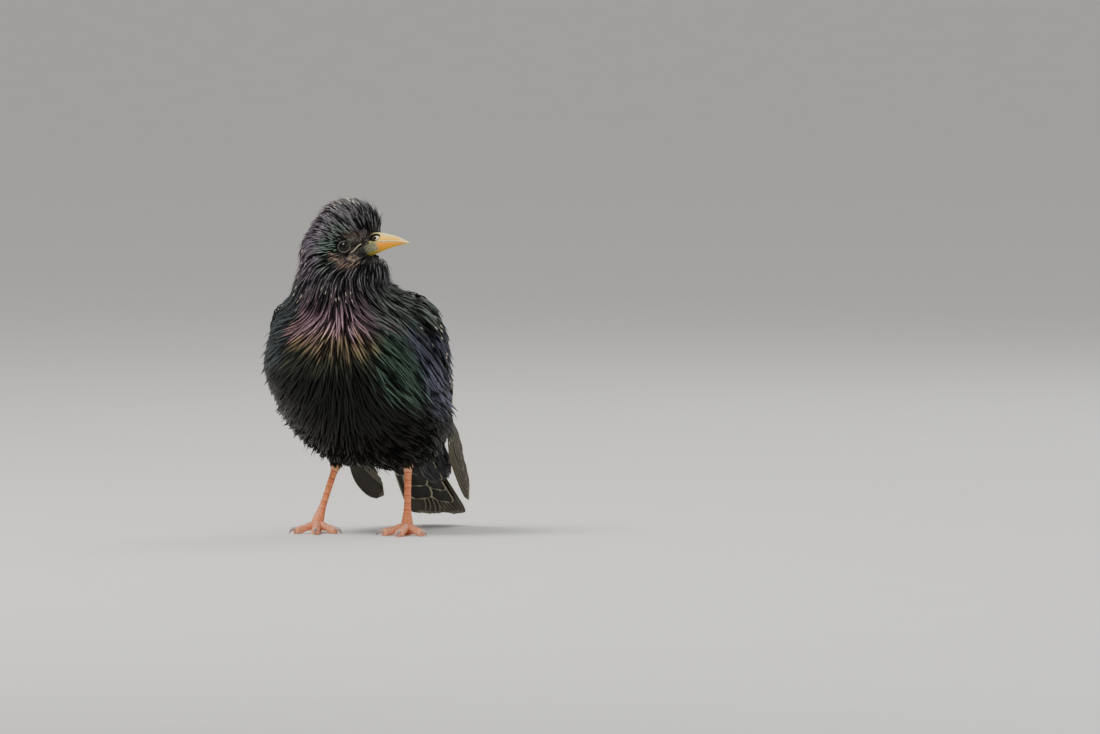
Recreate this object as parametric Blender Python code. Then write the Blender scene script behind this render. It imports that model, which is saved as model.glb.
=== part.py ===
"""A life-size model of a common starling that stands upright with its head turned to its left.

The bird faces -Y, its left side is +X and the floor is Z = 0. Sizes are in millimetres, and MM
turns them into metres.
"""

import math
import random

import bmesh
import bpy
import numpy as np
from mathutils import Matrix, Vector

MM = 0.001
GAP = 0.3                      # what two touching nodes keep between them
ORIGIN_SHIFT = (1.7, -20.2)     # moves the middle of the feet so that the box's centre is the origin

# Spine line, from the tail's tip through the body to the middle of the head
SPINE = np.array([
    (0.0, 86.0, 12.0),
    (0.0, 42.0, 46.0),
    (0.0, -1.0, 80.0),
    (-1.0, -19.0, 122.0),
    (-2.5, -19.5, 153.0),
])
TAIL_END_S = 34.0              # where the rounded end of the tail's root is centred, along the spine
TAIL_TORSO_S = 56.0            # the cut between the tail's root and the torso
TORSO_NECK_S = 146.0           # the cut between torso and neck
NECK_HEAD_S = 163.0            # the cut between neck and head

# Feathered body forms: centre, half sizes, and the turn about X that tips the form forward
BODY_FORMS = {
    "breast": ((-1.7, -8.0, 86.0), (45.5, 38.5, 40.0), 0.0),
    "belly": ((0.0, -3.0, 67.3), (37.0, 33.0, 33.5), 0.0),
    "back": ((0.0, 14.0, 80.0), (29.0, 21.0, 38.0), 32.0),
    "rump": ((0.0, 31.0, 54.0), (20.0, 13.0, 25.0), 45.0),
    "tail_root": ((5.5, 54.0, 38.5), (15.5, 6.5, 26.0), 48.0),
    "left_flank": ((18.5, 11.0, 62.0), (20.0, 26.0, 26.0), 0.0),
    "vent": ((6.0, 29.0, 48.5), (23.0, 22.0, 13.0), 35.0),
    "left_shoulder": ((17.5, -3.0, 99.8), (17.2, 20.0, 20.3), 0.0),
    "right_shoulder": ((-22.5, -4.0, 105.0), (18.5, 20.0, 20.0), 0.0),
    "neck": ((-4.0, -19.5, 122.5), (23.5, 22.0, 21.0), 0.0),
}
BODY_BLEND = 10.0

# Head: its own axes run forward, left and up from the midpoint between the eyes
HEAD_ORIGIN = (3.4, -20.0, 145.3)
HEAD_YAW = 84.0                # turned to the bird's left
HEAD_PITCH = 9.0               # bill raised
HEAD_FORMS = {
    "face": ((-1.0, 0.0, 1.5), (14.0, 9.2, 11.0), 0.0),
    "crown": ((-2.5, 0.0, 7.7), (18.5, 12.8, 15.8), 0.0),
    "nape": ((-14.0, 0.0, -3.0), (15.5, 15.0, 16.0), 0.0),
    "lores": ((7.5, 0.0, 0.5), (7.0, 5.8, 6.0), 0.0),
    "throat": ((2.0, 0.0, -14.0), (15.0, 13.0, 10.0), 0.0),
}
HEAD_BLEND = 4.5

# What the free ends of the wings lie on, either side of the tail
WING_REST = {
    "left": ((8.5, 48.0, 42.0), (19.5, 16.0, 52.0), 52.0),
    "right": ((-8.0, 48.0, 41.0), (19.0, 16.0, 50.0), 50.0),
}

EYE_RADIUS = 3.1
EYE_PLACE = (0.3, 9.2, 0.0)
EYE_FACING = (0.24, 0.96, 0.06)
LID_RADIUS = 2.75
LID_THICK = 0.55

# Bill, along the head's forward axis: culmen, mouth line, lower edge and half width
BILL_X = np.array([5.5, 10.0, 14.0, 20.0, 26.0, 30.0, 32.4])
BILL_CULMEN = np.array([3.6, 4.6, 4.2, 2.6, 0.3, -2.0, -3.5])
BILL_MOUTH = np.array([-3.2, -0.9, -0.7, -1.2, -2.2, -3.2, -3.8])
BILL_LOWER = np.array([-7.4, -7.0, -6.2, -5.0, -4.2, -4.0, -4.1])
BILL_HALF_WIDTH = np.array([4.2, 5.0, 4.5, 3.3, 2.2, 1.3, 0.5])

NOSTRIL = (14.7, 3.9, 1.4)     # nostril's middle
GAPE_X = (3.5, 5.2, 7.8, 10.5)  # the mouth line from its corner to where the bill takes over
GAPE_Z = (-4.5, -3.7, -1.8, -1.2)

# Legs: ankle and foot joints, right then left
ANKLE = {"right": (-17.5, 5.0, 34.0), "left": (22.0, 5.0, 34.0)}
FOOT = {"right": (-24.0, -4.0, 4.6), "left": (25.5, -4.0, 4.6)}
FOOT_TURN = {"right": 22.0, "left": 12.0}    # towards the bird's left, in degrees
THIGH_TOP = {"right": (-15.0, -3.0, 58.0), "left": (17.5, -3.0, 58.0)}
THIGH_RADII = (12.5, 3.3)
TARSUS_RADIUS = 1.7
# Toes: turn from the foot's own line, length, radius at the root and at the end
TOES = {
    "middle": (0.0, 19.0, 2.2, 1.8),
    "inner": (-44.0, 14.5, 2.1, 1.75),
    "outer": (42.0, 16.0, 2.1, 1.7),
    "hind": (180.0, 12.0, 2.1, 1.8),
}
CLAW_LENGTH = {"middle": 6.5, "inner": 6.0, "outer": 5.5, "hind": 8.0}

COLOURS = {
    "plumage": ((0.018, 0.020, 0.024), 0.45),
    "flight": ((0.060, 0.048, 0.040), 0.50),
    "bill": ((0.85, 0.58, 0.16), 0.35),
    "bill_base": ((0.80, 0.45, 0.08), 0.35),
    "eye": ((0.012, 0.010, 0.009), 0.08),
    "leg": ((0.62, 0.22, 0.14), 0.50),
    "claw": ((0.22, 0.17, 0.15), 0.35),
}


def clear_scene():
    """Removes the startup objects."""
    for obj in list(bpy.data.objects):
        bpy.data.objects.remove(obj)


def material(name):
    """One plain material for each finish."""
    found = bpy.data.materials.get(name)
    if found:
        return found
    colour, roughness = COLOURS[name]
    made = bpy.data.materials.new(name)
    made.use_nodes = True
    shader = made.node_tree.nodes["Principled BSDF"]
    shader.inputs["Base Color"].default_value = (*colour, 1.0)
    shader.inputs["Roughness"].default_value = roughness
    return made


def mesh_object(name, points, faces, finish, home):
    """A mesh object from points in millimetres, with its faces turned outwards."""
    shifted = (np.asarray(points, float) + np.array([*ORIGIN_SHIFT, 0.0])) * MM
    mesh = bpy.data.meshes.new(name)
    mesh.from_pydata([tuple(p) for p in shifted], [], [tuple(int(i) for i in f) for f in faces])
    shape = bmesh.new()
    shape.from_mesh(mesh)
    bmesh.ops.recalc_face_normals(shape, faces=shape.faces)
    shape.to_mesh(mesh)
    shape.free()
    mesh.materials.append(material(finish))
    obj = bpy.data.objects.new(name, mesh)
    home.objects.link(obj)
    return obj


def turn_x(degrees):
    """Rotation about X as a numpy matrix; a positive angle tips the form's top forward."""
    return np.array(Matrix.Rotation(math.radians(degrees), 3, "X"))


def head_axes():
    """The head's forward, left and up directions as rows."""
    yaw = Matrix.Rotation(math.radians(HEAD_YAW), 3, "Z")
    pitch = Matrix.Rotation(math.radians(-HEAD_PITCH), 3, "Y")
    body = Matrix.Rotation(math.radians(-90), 3, "Z")
    turn = yaw @ body @ pitch
    return np.array([turn @ Vector(axis) for axis in ((1, 0, 0), (0, 1, 0), (0, 0, 1))])


HEAD_AXES = head_axes()


def from_head(points):
    """Points in the head's axes, moved into the bird's."""
    return np.asarray(points, float) @ HEAD_AXES + np.array(HEAD_ORIGIN)


def form_depth(points, centre, sizes, tip, axes=None):
    """Roughly how far each point lies outside an ellipsoid, negative inside."""
    local = points - np.array(centre)
    if axes is not None:
        local = (points - np.array(HEAD_ORIGIN)) @ axes.T - np.array(centre)
    local = local @ turn_x(tip)
    sizes = np.array(sizes)
    near = np.linalg.norm(local / sizes, axis=1)
    steep = np.linalg.norm(local / sizes**2, axis=1) + 1e-9
    return near * (near - 1.0) / steep


def blended(first, second, reach):
    """Smooth union of two depths."""
    share = np.maximum(reach - np.abs(first - second), 0.0) / reach
    return np.minimum(first, second) - share * share * reach / 4.0


def body_depth(points):
    """Depth outside the whole feathered body and head."""
    depth = None
    for centre, sizes, tip in BODY_FORMS.values():
        one = form_depth(points, centre, sizes, tip)
        depth = one if depth is None else blended(depth, one, BODY_BLEND)
    for centre, sizes, tip in HEAD_FORMS.values():
        one = form_depth(points, centre, sizes, tip, HEAD_AXES)
        depth = blended(depth, one, HEAD_BLEND)
    return depth


def rest_depth(side):
    """Depth outside the body with the form that a wing's free end lies on."""
    def depth(points):
        return blended(body_depth(points), form_depth(points, *WING_REST[side]), 6.0)
    return depth


def spine_table():
    """Close points along the spine and their distance from the tail's tip."""
    ends = np.vstack([2 * SPINE[0] - SPINE[1], SPINE, 2 * SPINE[-1] - SPINE[-2]])
    line = []
    for i in range(len(SPINE) - 1):
        p0, p1, p2, p3 = ends[i:i + 4]
        for t in np.linspace(0, 1, 40, endpoint=False):
            line.append(0.5 * (2 * p1 + (p2 - p0) * t + (2 * p0 - 5 * p1 + 4 * p2 - p3) * t**2
                               + (3 * p1 - p0 - 3 * p2 + p3) * t**3))
    line = np.array(line + [SPINE[-1]])
    steps = np.linalg.norm(np.diff(line, axis=0), axis=1)
    return line, np.concatenate([[0.0], np.cumsum(steps)])


SPINE_LINE, SPINE_S = spine_table()
SPINE_END = float(SPINE_S[-1])


def spine_frame(s):
    """Centre, tangent, front and left directions at distances s along the spine."""
    s = np.atleast_1d(np.asarray(s, float))
    at = np.stack([np.interp(s, SPINE_S, SPINE_LINE[:, k]) for k in range(3)], 1)
    ahead = np.stack([np.interp(np.clip(s + 3, 0, SPINE_END), SPINE_S, SPINE_LINE[:, k])
                      for k in range(3)], 1)
    behind = np.stack([np.interp(np.clip(s - 3, 0, SPINE_END), SPINE_S, SPINE_LINE[:, k])
                       for k in range(3)], 1)
    tangent = ahead - behind
    tangent /= np.linalg.norm(tangent, axis=1)[:, None]
    left = np.array([1.0, 0, 0]) - tangent * tangent[:, :1]
    left /= np.linalg.norm(left, axis=1)[:, None]
    front = -np.cross(tangent, left)
    return at, tangent, front, left


def first_exit(origins, ways, depth):
    """Where rays from inside a form leave it."""
    reach = np.zeros(len(origins))
    for _ in range(60):
        reach += -depth(origins + ways * reach[:, None]) * 0.9
    return origins + ways * reach[:, None]


def outward(points, depth):
    """Unit normals of a form's surface."""
    step = 0.05
    slope = np.stack([depth(points + step * axis) - depth(points - step * axis)
                      for axis in np.eye(3)], 1)
    return slope / np.linalg.norm(slope, axis=1)[:, None]


def on_surface(s, theta, height=0.0, depth=body_depth, dip=0.0):
    """Points at distance s along the spine and angle theta round it (0 front, 90 left), raised by height."""
    s, theta, height, dip = np.broadcast_arrays(*(np.asarray(v, float) for v in (s, theta, height, dip)))
    shape = s.shape
    s, theta, height, dip = (v.ravel() for v in (s, theta, height, dip))
    at, tangent, front, left = spine_frame(s)
    angle, lean = np.radians(theta)[:, None], np.radians(dip)[:, None]
    around = np.cos(angle) * front + np.sin(angle) * left
    ways = np.cos(lean) * around + np.sin(lean) * tangent
    points = first_exit(at, ways, depth)
    normals = outward(points, depth)
    return (points + normals * height[:, None]).reshape(*shape, 3), normals.reshape(*shape, 3)


def ring_faces(rings, around, low_cap, high_cap):
    """Quads between rings, with a fan to one extra point at each end. Points: rings, then the two centres."""
    faces = []
    for i in range(rings - 1):
        for j in range(around):
            k = (j + 1) % around
            faces.append((i * around + j, i * around + k, (i + 1) * around + k, (i + 1) * around + j))
    last = (rings - 1) * around
    for j in range(around):
        k = (j + 1) % around
        faces.append((k, j, low_cap))
        faces.append((last + j, last + k, high_cap))
    return faces


def body_length(name, start, end, steps, around, home, finish="plumage"):
    """A length of the body between two stations; a pole closes an end where the station is None."""
    theta = np.arange(around) * 360.0 / around
    low, high = (TAIL_END_S if start is None else start), (SPINE_END - 12.0 if end is None else end)
    rings = []
    if start is None:
        for dip in np.linspace(-90, 0, 7)[1:-1]:
            rings.append(on_surface(low, theta, dip=dip)[0])
    for s in np.linspace(low, high, steps):
        rings.append(on_surface(s, theta)[0])
    if end is None:
        for dip in np.linspace(0, 90, 9)[1:-1]:
            rings.append(on_surface(high, theta, dip=dip)[0])
    caps = [on_surface(low, 0.0, dip=-90.0)[0].reshape(3) if start is None else spine_frame(low)[0][0],
            on_surface(high, 0.0, dip=90.0)[0].reshape(3) if end is None else spine_frame(high)[0][0]]
    count = len(rings) * around
    points = np.vstack([np.vstack(rings), caps])
    return mesh_object(name, points, ring_faces(len(rings), around, count, count + 1), finish, home)


def tube(name, path, radii, sides, home, finish, flatten=1.0):
    """A closed tube along a path of points, with one radius for each point and flat ends."""
    path = np.asarray(path, float)
    ways = np.gradient(path, axis=0)
    ways /= np.linalg.norm(ways, axis=1)[:, None]
    guide = np.array([0.0, 0.0, 1.0]) if abs(ways[0][2]) < 0.8 else np.array([0.0, 1.0, 0.0])
    rings = []
    for at, way, radius in zip(path, ways, radii):
        across = np.cross(way, guide)
        across /= np.linalg.norm(across)
        up = np.cross(across, way)
        angle = np.arange(sides) * 2 * np.pi / sides
        rings.append(at + radius * (np.cos(angle)[:, None] * across
                                    + flatten * np.sin(angle)[:, None] * up))
    count = len(rings) * sides
    points = np.vstack([*rings, path[0], path[-1]])
    return mesh_object(name, points, ring_faces(len(rings), sides, count, count + 1), finish, home)


class Sheet:
    """A patch of a form's surface, laid out by distance s along the spine and distance c round it."""

    def __init__(self, depth, s_range, theta_range, middle, mirror=1.0):
        self.depth, self.mirror = depth, mirror
        self.s = np.linspace(*s_range, 30)
        self.theta = np.linspace(*theta_range, 40)
        grid_s, grid_theta = np.meshgrid(self.s, self.theta, indexing="ij")
        points = on_surface(grid_s, mirror * grid_theta, 0.0, depth)[0]
        steps = np.linalg.norm(np.diff(points, axis=1), axis=2)
        self.across = np.concatenate([np.zeros((30, 1)), np.cumsum(steps, axis=1)], 1)
        for row, s in zip(self.across, self.s):
            row -= np.interp(np.interp(s, *middle), self.theta, row)

    def place(self, s, c, height):
        """Points over the sheet at the given heights."""
        s, c, height = np.broadcast_arrays(s, c, height)
        theta = np.empty(s.shape)
        for k in np.ndindex(s.shape):
            row = [np.interp(s[k], self.s, self.across[:, j]) for j in range(len(self.theta))]
            theta[k] = np.interp(c[k], row, self.theta)
        return on_surface(s, self.mirror * theta, height, self.depth)[0]


class FlatSheet:
    """A flat, slightly arched patch from a root point to a tip point, with the same use as a Sheet."""

    def __init__(self, root, tip, arch):
        self.root, self.arch = np.array(root), arch
        line = np.array(tip) - self.root
        self.length = np.linalg.norm(line)
        self.along = line / self.length
        self.across = np.cross((0.0, 1.0, 0.3), self.along)
        self.across *= np.sign(self.across[0]) / np.linalg.norm(self.across)
        self.out = np.cross(self.across, self.along)
        self.out *= np.sign(self.out[1])

    def place(self, s, c, height):
        """Points over the patch at the given heights."""
        s, c, height = np.broadcast_arrays(s, c, height)
        lift = height - self.arch * c * c
        return (self.root + s[..., None] * self.along + c[..., None] * self.across
                + lift[..., None] * self.out)


def slab(name, outer, inner, home, finish):
    """A closed thin body between two grids of points, split alike on both faces."""
    rows, columns = outer.shape[:2]
    count = rows * columns
    points = np.vstack([outer.reshape(-1, 3), inner.reshape(-1, 3)])
    faces = []
    for i in range(rows - 1):
        for j in range(columns - 1):
            a, b = i * columns + j, (i + 1) * columns + j
            faces += [(a, a + 1, b + 1), (a, b + 1, b)]
            faces += [(count + b + 1, count + a + 1, count + a), (count + b, count + b + 1, count + a)]
    rim = ([(0, j) for j in range(columns)] + [(i, columns - 1) for i in range(1, rows)]
           + [(rows - 1, j) for j in range(columns - 2, -1, -1)] + [(i, 0) for i in range(rows - 2, 0, -1)])
    ids = [i * columns + j for i, j in rim]
    for a, b in zip(ids, ids[1:] + ids[:1]):
        faces += [(b, a, a + count), (b, a + count, b + count)]
    return mesh_object(name, points, faces, finish, home)


def vane(sheet, s_line, c_line, width, height, thick, home, finish="flight"):
    """One feather over a sheet through the given stations, the last of which is its tip."""
    s, c = np.asarray(s_line, float), np.asarray(c_line, float)
    t = (s - s[0]) / (s[-1] - s[0])
    half = width / 2 * np.clip(0.5 + 1.5 * t, 0, 1) * np.where(t > 0.999, 0.35, 1.0)
    side = np.array([-1.0, 0.0, 1.0])
    back = 0.22 * half[:, None] * np.abs(side) * np.sign(s[0] - s[-1]) * np.where(t > 0.8, 1.0, 0.0)[:, None]
    grid_s, grid_c = s[:, None] + back, c[:, None] + half[:, None] * side
    return slab("vane", sheet.place(grid_s, grid_c, height + thick), sheet.place(grid_s, grid_c, height),
                home, finish)


def pleats(sheet, count, s_root, s_tip, c_root, c_tip, top, home, step=0.5, sunk=0.9, thick=0.6,
           rows=4, rounding=2.5, mirror=1.0, across=(0.0, 0.5, 1.0)):
    """A tier of overlapping feathers as one pleated sheet; each pair runs from first to last feather."""
    share = np.linspace(0, 1, rows)
    columns = []
    for k in range(count):
        f = k / max(count - 1, 1)
        root, tip = s_root[0] + (s_root[1] - s_root[0]) * f, s_tip[0] + (s_tip[1] - s_tip[0]) * f
        high = top[0] + (top[1] - top[0]) * f
        for place in across:
            g = (k + place * 0.96) / count
            near, far = c_root[0] + (c_root[1] - c_root[0]) * g, c_tip[0] + (c_tip[1] - c_tip[0]) * g
            end = tip + rounding * (2 * place - 1) ** 2 * np.sign(root - tip)
            outer = np.full(rows, high + step * (0.5 - place))
            inner = sunk + (outer - thick - sunk) * share ** 0.7
            columns.append((root + (end - root) * share, mirror * (near + (far - near) * share),
                            outer, inner))
    s, c, outer, inner = (np.stack([column[i] for column in columns], 1) for i in range(4))
    return slab("pleats", sheet.place(s, c, outer), sheet.place(s, c, inner), home, "flight")


def lock(sheet, s_ends, c_ends, width, rise, home, thick=0.7):
    """A flat tapered tuft over a sheet; rise holds its inner face's height at root, middle and tip."""
    t = np.array([0.0, 0.45, 1.0])
    s = s_ends[0] + (s_ends[1] - s_ends[0]) * t
    c = c_ends[0] + (c_ends[1] - c_ends[0]) * t ** 1.3
    half = width / 2 * np.array([0.85, 1.0, 0.18])
    side = np.array([-1.0, 1.0])
    grid_s, grid_c = np.broadcast_to(s[:, None], (3, 2)), c[:, None] + half[:, None] * side
    inner_height = np.array(rise)[:, None] + np.zeros((3, 2))
    deep = thick * np.array([1.0, 1.0, 0.6])[:, None]
    return slab("lock", sheet.place(grid_s, grid_c, inner_height + deep),
                sheet.place(grid_s, grid_c, inner_height), home, "plumage")


def lock_rows(sheet, rows, rise, chance, home):
    """Rows of locks: count, first and last c, s at root and tip, width, and how much the row fans out."""
    made = []
    for count, c_first, c_last, s_root, s_tip, width, fan in rows:
        for k in range(count):
            c = c_first + (c_last - c_first) * k / max(count - 1, 1) + chance.uniform(-0.12, 0.12) * width
            length = (s_tip - s_root) * chance.uniform(0.9, 1.1)
            root = s_root + chance.uniform(-0.8, 0.8)
            tip = rise[2] * chance.uniform(0.75, 1.25)
            made.append(lock(sheet, (root, root + length), (c, c * fan + chance.uniform(-0.8, 0.8)),
                             width * chance.uniform(0.9, 1.1), (rise[0], rise[1], tip), home))
    return made


def applied(obj):
    """Replaces an object's mesh by what its modifiers make of it."""
    bpy.context.view_layer.update()
    graph = bpy.context.evaluated_depsgraph_get()
    mesh = bpy.data.meshes.new_from_object(obj.evaluated_get(graph))
    obj.modifiers.clear()
    obj.data = mesh
    return obj


def keep_largest(obj, merge):
    """Leaves only the closed surface that holds most, with triangles in one plane merged."""
    shape = bmesh.new()
    shape.from_mesh(obj.data)
    bmesh.ops.triangulate(shape, faces=shape.faces)
    bmesh.ops.remove_doubles(shape, verts=shape.verts, dist=2e-7)
    if merge:
        bmesh.ops.dissolve_limit(shape, angle_limit=math.radians(merge), verts=shape.verts,
                                 edges=shape.edges)
        bmesh.ops.triangulate(shape, faces=shape.faces)
    left, groups = set(shape.faces), []
    while left:
        seed = left.pop()
        group, edge = {seed}, [seed]
        while edge:
            for side in edge.pop().edges:
                for face in side.link_faces:
                    if face in left:
                        left.remove(face)
                        group.add(face)
                        edge.append(face)
        volume = sum(f.verts[0].co.dot(f.verts[1].co.cross(f.verts[2].co)) for f in group)
        groups.append((volume, group))
    best = max(groups, key=lambda pair: pair[0])[1]
    loose = [f for f in shape.faces if f not in best]
    bmesh.ops.delete(shape, geom=loose, context="FACES")
    shape.to_mesh(obj.data)
    shape.free()
    return obj


def joined(obj, others, operation="UNION", solver="MANIFOLD", merge=0.0):
    """One Boolean between a node and several closed objects, which are then removed."""
    group = bpy.data.collections.new(obj.name + "_others")
    for other in others:
        for home in list(other.users_collection):
            home.objects.unlink(other)
        group.objects.link(other)
    bpy.context.scene.collection.children.link(group)
    cut = obj.modifiers.new("joined", "BOOLEAN")
    cut.operation, cut.operand_type, cut.collection, cut.solver = operation, "COLLECTION", group, solver
    applied(obj)
    for other in list(group.objects):
        bpy.data.objects.remove(other)
    bpy.data.collections.remove(group)
    return keep_largest(obj, merge)


# Rows of hackles and tufts: count, first and last c, s at root and tip, width, fan
THROAT_LOCKS = (
    (13, -60.0, 60.0, 159.5, 147.5, 7.0, 1.03),
)
HANGING_LOCKS = (
    (13, -56.0, 52.0, 153.0, 137.0, 7.0, 1.05),
)
BREAST_LOCKS = (
    (9, -42.0, 42.0, 133.0, 114.0, 7.0, 1.06),
    (10, -46.0, 46.0, 119.0, 99.0, 7.0, 1.05),
)
FLANK_LOCKS = (
    (3, -57.0, -49.0, 107.0, 88.0, 5.5, 1.02),
    (3, -55.0, -48.0, 130.0, 110.0, 6.0, 1.02),
    (3, 44.0, 51.0, 106.0, 88.0, 5.5, 1.03),
)
BELLY_LOCKS = (
    (3, -7.0, 8.0, 88.0, 74.0, 5.5, 0.9),
)


def make_coat(parts, tools):
    """Torso and neck with their hackles and tufts."""
    chance = random.Random(7)
    sheet = Sheet(body_depth, (60.0, 176.0), (-172.0, 172.0), ([0.0, 200.0], [0.0, 0.0]))
    torso = body_length("torso", TAIL_TORSO_S + GAP / 2, TORSO_NECK_S - GAP / 2, 18, 40, parts)
    locks = lock_rows(sheet, BREAST_LOCKS, (-1.5, -0.3, 0.8), chance, tools)
    locks += lock_rows(sheet, FLANK_LOCKS, (-1.5, -0.1, 1.5), chance, tools)
    locks += lock_rows(sheet, BELLY_LOCKS, (-1.5, -0.2, 1.0), chance, tools)
    joined(torso, locks)
    neck = body_length("neck", TORSO_NECK_S + GAP / 2, NECK_HEAD_S - GAP / 2, 5, 40, parts)
    locks = lock_rows(sheet, THROAT_LOCKS, (-1.4, -0.2, 0.9), chance, tools)
    locks += lock_rows(sheet, HANGING_LOCKS, (-1.3, 1.0, 1.5), chance, tools)
    joined(neck, locks)


# Head, eyes and bill

def smooth_row(x, knots):
    """A value that passes smoothly through a row of knots along the bill."""
    slopes = np.gradient(knots, BILL_X)
    i = np.clip(np.searchsorted(BILL_X, x) - 1, 0, len(BILL_X) - 2)
    width = BILL_X[i + 1] - BILL_X[i]
    t = (x - BILL_X[i]) / width
    return ((2 * t**3 - 3 * t**2 + 1) * knots[i] + (t**3 - 2 * t**2 + t) * width * slopes[i]
            + (3 * t**2 - 2 * t**3) * knots[i + 1] + (t**3 - t**2) * width * slopes[i + 1])


def mandible(name, edge, grow, home, finish, stations=15, arc=9):
    """Half of the bill: an arch from the mouth line to the culmen, or to the lower edge."""
    rings = []
    start, end = BILL_X[0] - grow, BILL_X[-1] + grow
    for x in np.linspace(start, end, stations):
        inside = float(np.clip(x, BILL_X[0], BILL_X[-1]))
        mouth = smooth_row(inside, BILL_MOUTH)
        outer = smooth_row(inside, edge)
        half = smooth_row(inside, BILL_HALF_WIDTH) + grow
        side = np.sign(outer - mouth)
        outer = outer + side * grow
        flat = mouth + side * (GAP / 2 - grow)
        angle = np.linspace(0, np.pi, arc)
        y = half * np.cos(angle) * (1 - 0.12 * np.sin(angle))
        z = flat + (outer - flat) * np.sin(angle) ** 0.85
        rings.append(np.stack([np.full(arc, x), y, z], 1))
    count = len(rings) * arc
    middle = [rings[0].mean(0), rings[-1].mean(0)]
    points = from_head(np.vstack([*rings, middle]))
    return mesh_object(name, points, ring_faces(len(rings), arc, count, count + 1), finish, home)


def ball(name, centre, radius, home, finish, detail=3):
    """A round ball as an icosphere."""
    mesh = bpy.data.meshes.new(name)
    shape = bmesh.new()
    bmesh.ops.create_icosphere(shape, subdivisions=detail, radius=radius * MM)
    shift = np.array([*ORIGIN_SHIFT, 0.0])
    bmesh.ops.translate(shape, verts=shape.verts, vec=Vector((np.asarray(centre) + shift) * MM))
    shape.to_mesh(mesh)
    shape.free()
    mesh.materials.append(material(finish))
    obj = bpy.data.objects.new(name, mesh)
    home.objects.link(obj)
    return obj


def lid_ring(name, side, home):
    """The bare ring of eyelid round one eye."""
    facing = np.array([EYE_FACING[0], side * EYE_FACING[1], EYE_FACING[2]])
    facing /= np.linalg.norm(facing)
    seat = math.sqrt(EYE_RADIUS**2 - LID_RADIUS**2) + 0.35
    centre = np.array([EYE_PLACE[0], side * EYE_PLACE[1], EYE_PLACE[2]]) + facing * seat
    across = np.cross(facing, (0.0, 0.0, 1.0))
    across /= np.linalg.norm(across)
    up = np.cross(across, facing)
    rings = []
    for turn in np.arange(14) * 2 * np.pi / 14:
        out = np.cos(turn) * across + np.sin(turn) * up
        section = np.arange(5) * 2 * np.pi / 5 + 0.3
        rings.append(centre + out * (LID_RADIUS + LID_THICK * np.cos(section))[:, None]
                     + facing * (LID_THICK * 1.6 * np.sin(section))[:, None])
    faces = [(i * 5 + j, i * 5 + (j + 1) % 5, (i + 1) % 14 * 5 + (j + 1) % 5, (i + 1) % 14 * 5 + j)
             for i in range(14) for j in range(5)]
    return mesh_object(name, from_head(np.vstack(rings)), faces, "plumage", home)


def make_head(parts, tools):
    """The head with its sockets, lids and the seat of the bill, then the eyes and the two mandibles."""
    head = body_length("head", NECK_HEAD_S + GAP / 2, None, 7, 44, parts)
    eyes = {}
    for label, side in (("left", 1.0), ("right", -1.0)):
        place = from_head([EYE_PLACE[0], side * EYE_PLACE[1], EYE_PLACE[2]])
        eyes[label] = place
        joined(head, [lid_ring("lid", side, tools)])
        joined(head, [ball("socket", place, EYE_RADIUS + 1.4 * GAP, tools, "plumage", 2)], "DIFFERENCE")
    seats = [mandible("seat_a", BILL_CULMEN, GAP, tools, "plumage"),
             mandible("seat_b", BILL_LOWER, GAP, tools, "plumage")]
    for side in (1.0, -1.0):
        x = np.linspace(GAPE_X[0], GAPE_X[-1], 7)
        inside = from_head(np.stack([x, 0 * x, np.interp(x, GAPE_X, GAPE_Z)], 1))
        ways = np.broadcast_to(HEAD_AXES[1] * side, inside.shape)
        seats.append(tube("gape", first_exit(inside, ways, body_depth), np.linspace(0.3, 0.55, 7), 6,
                          tools, "plumage"))
    joined(head, seats, "DIFFERENCE")
    for label, place in eyes.items():
        ball("eye_" + label, place, EYE_RADIUS, parts, "eye")
    upper = mandible("bill_upper", BILL_CULMEN, 0.0, parts, "bill")
    nostrils = []
    for side in (1.0, -1.0):
        places = [[NOSTRIL[0] + d, side * NOSTRIL[1], NOSTRIL[2] - 0.12 * d] for d in (-1.3, -0.7, 0.7, 1.3)]
        nostrils.append(tube("nostril", from_head(places), (0.25, 0.75, 0.75, 0.25), 6, tools, "bill"))
    joined(upper, nostrils, "DIFFERENCE")
    mandible("bill_lower", BILL_LOWER, 0.0, parts, "bill_base")


# Legs

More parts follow.
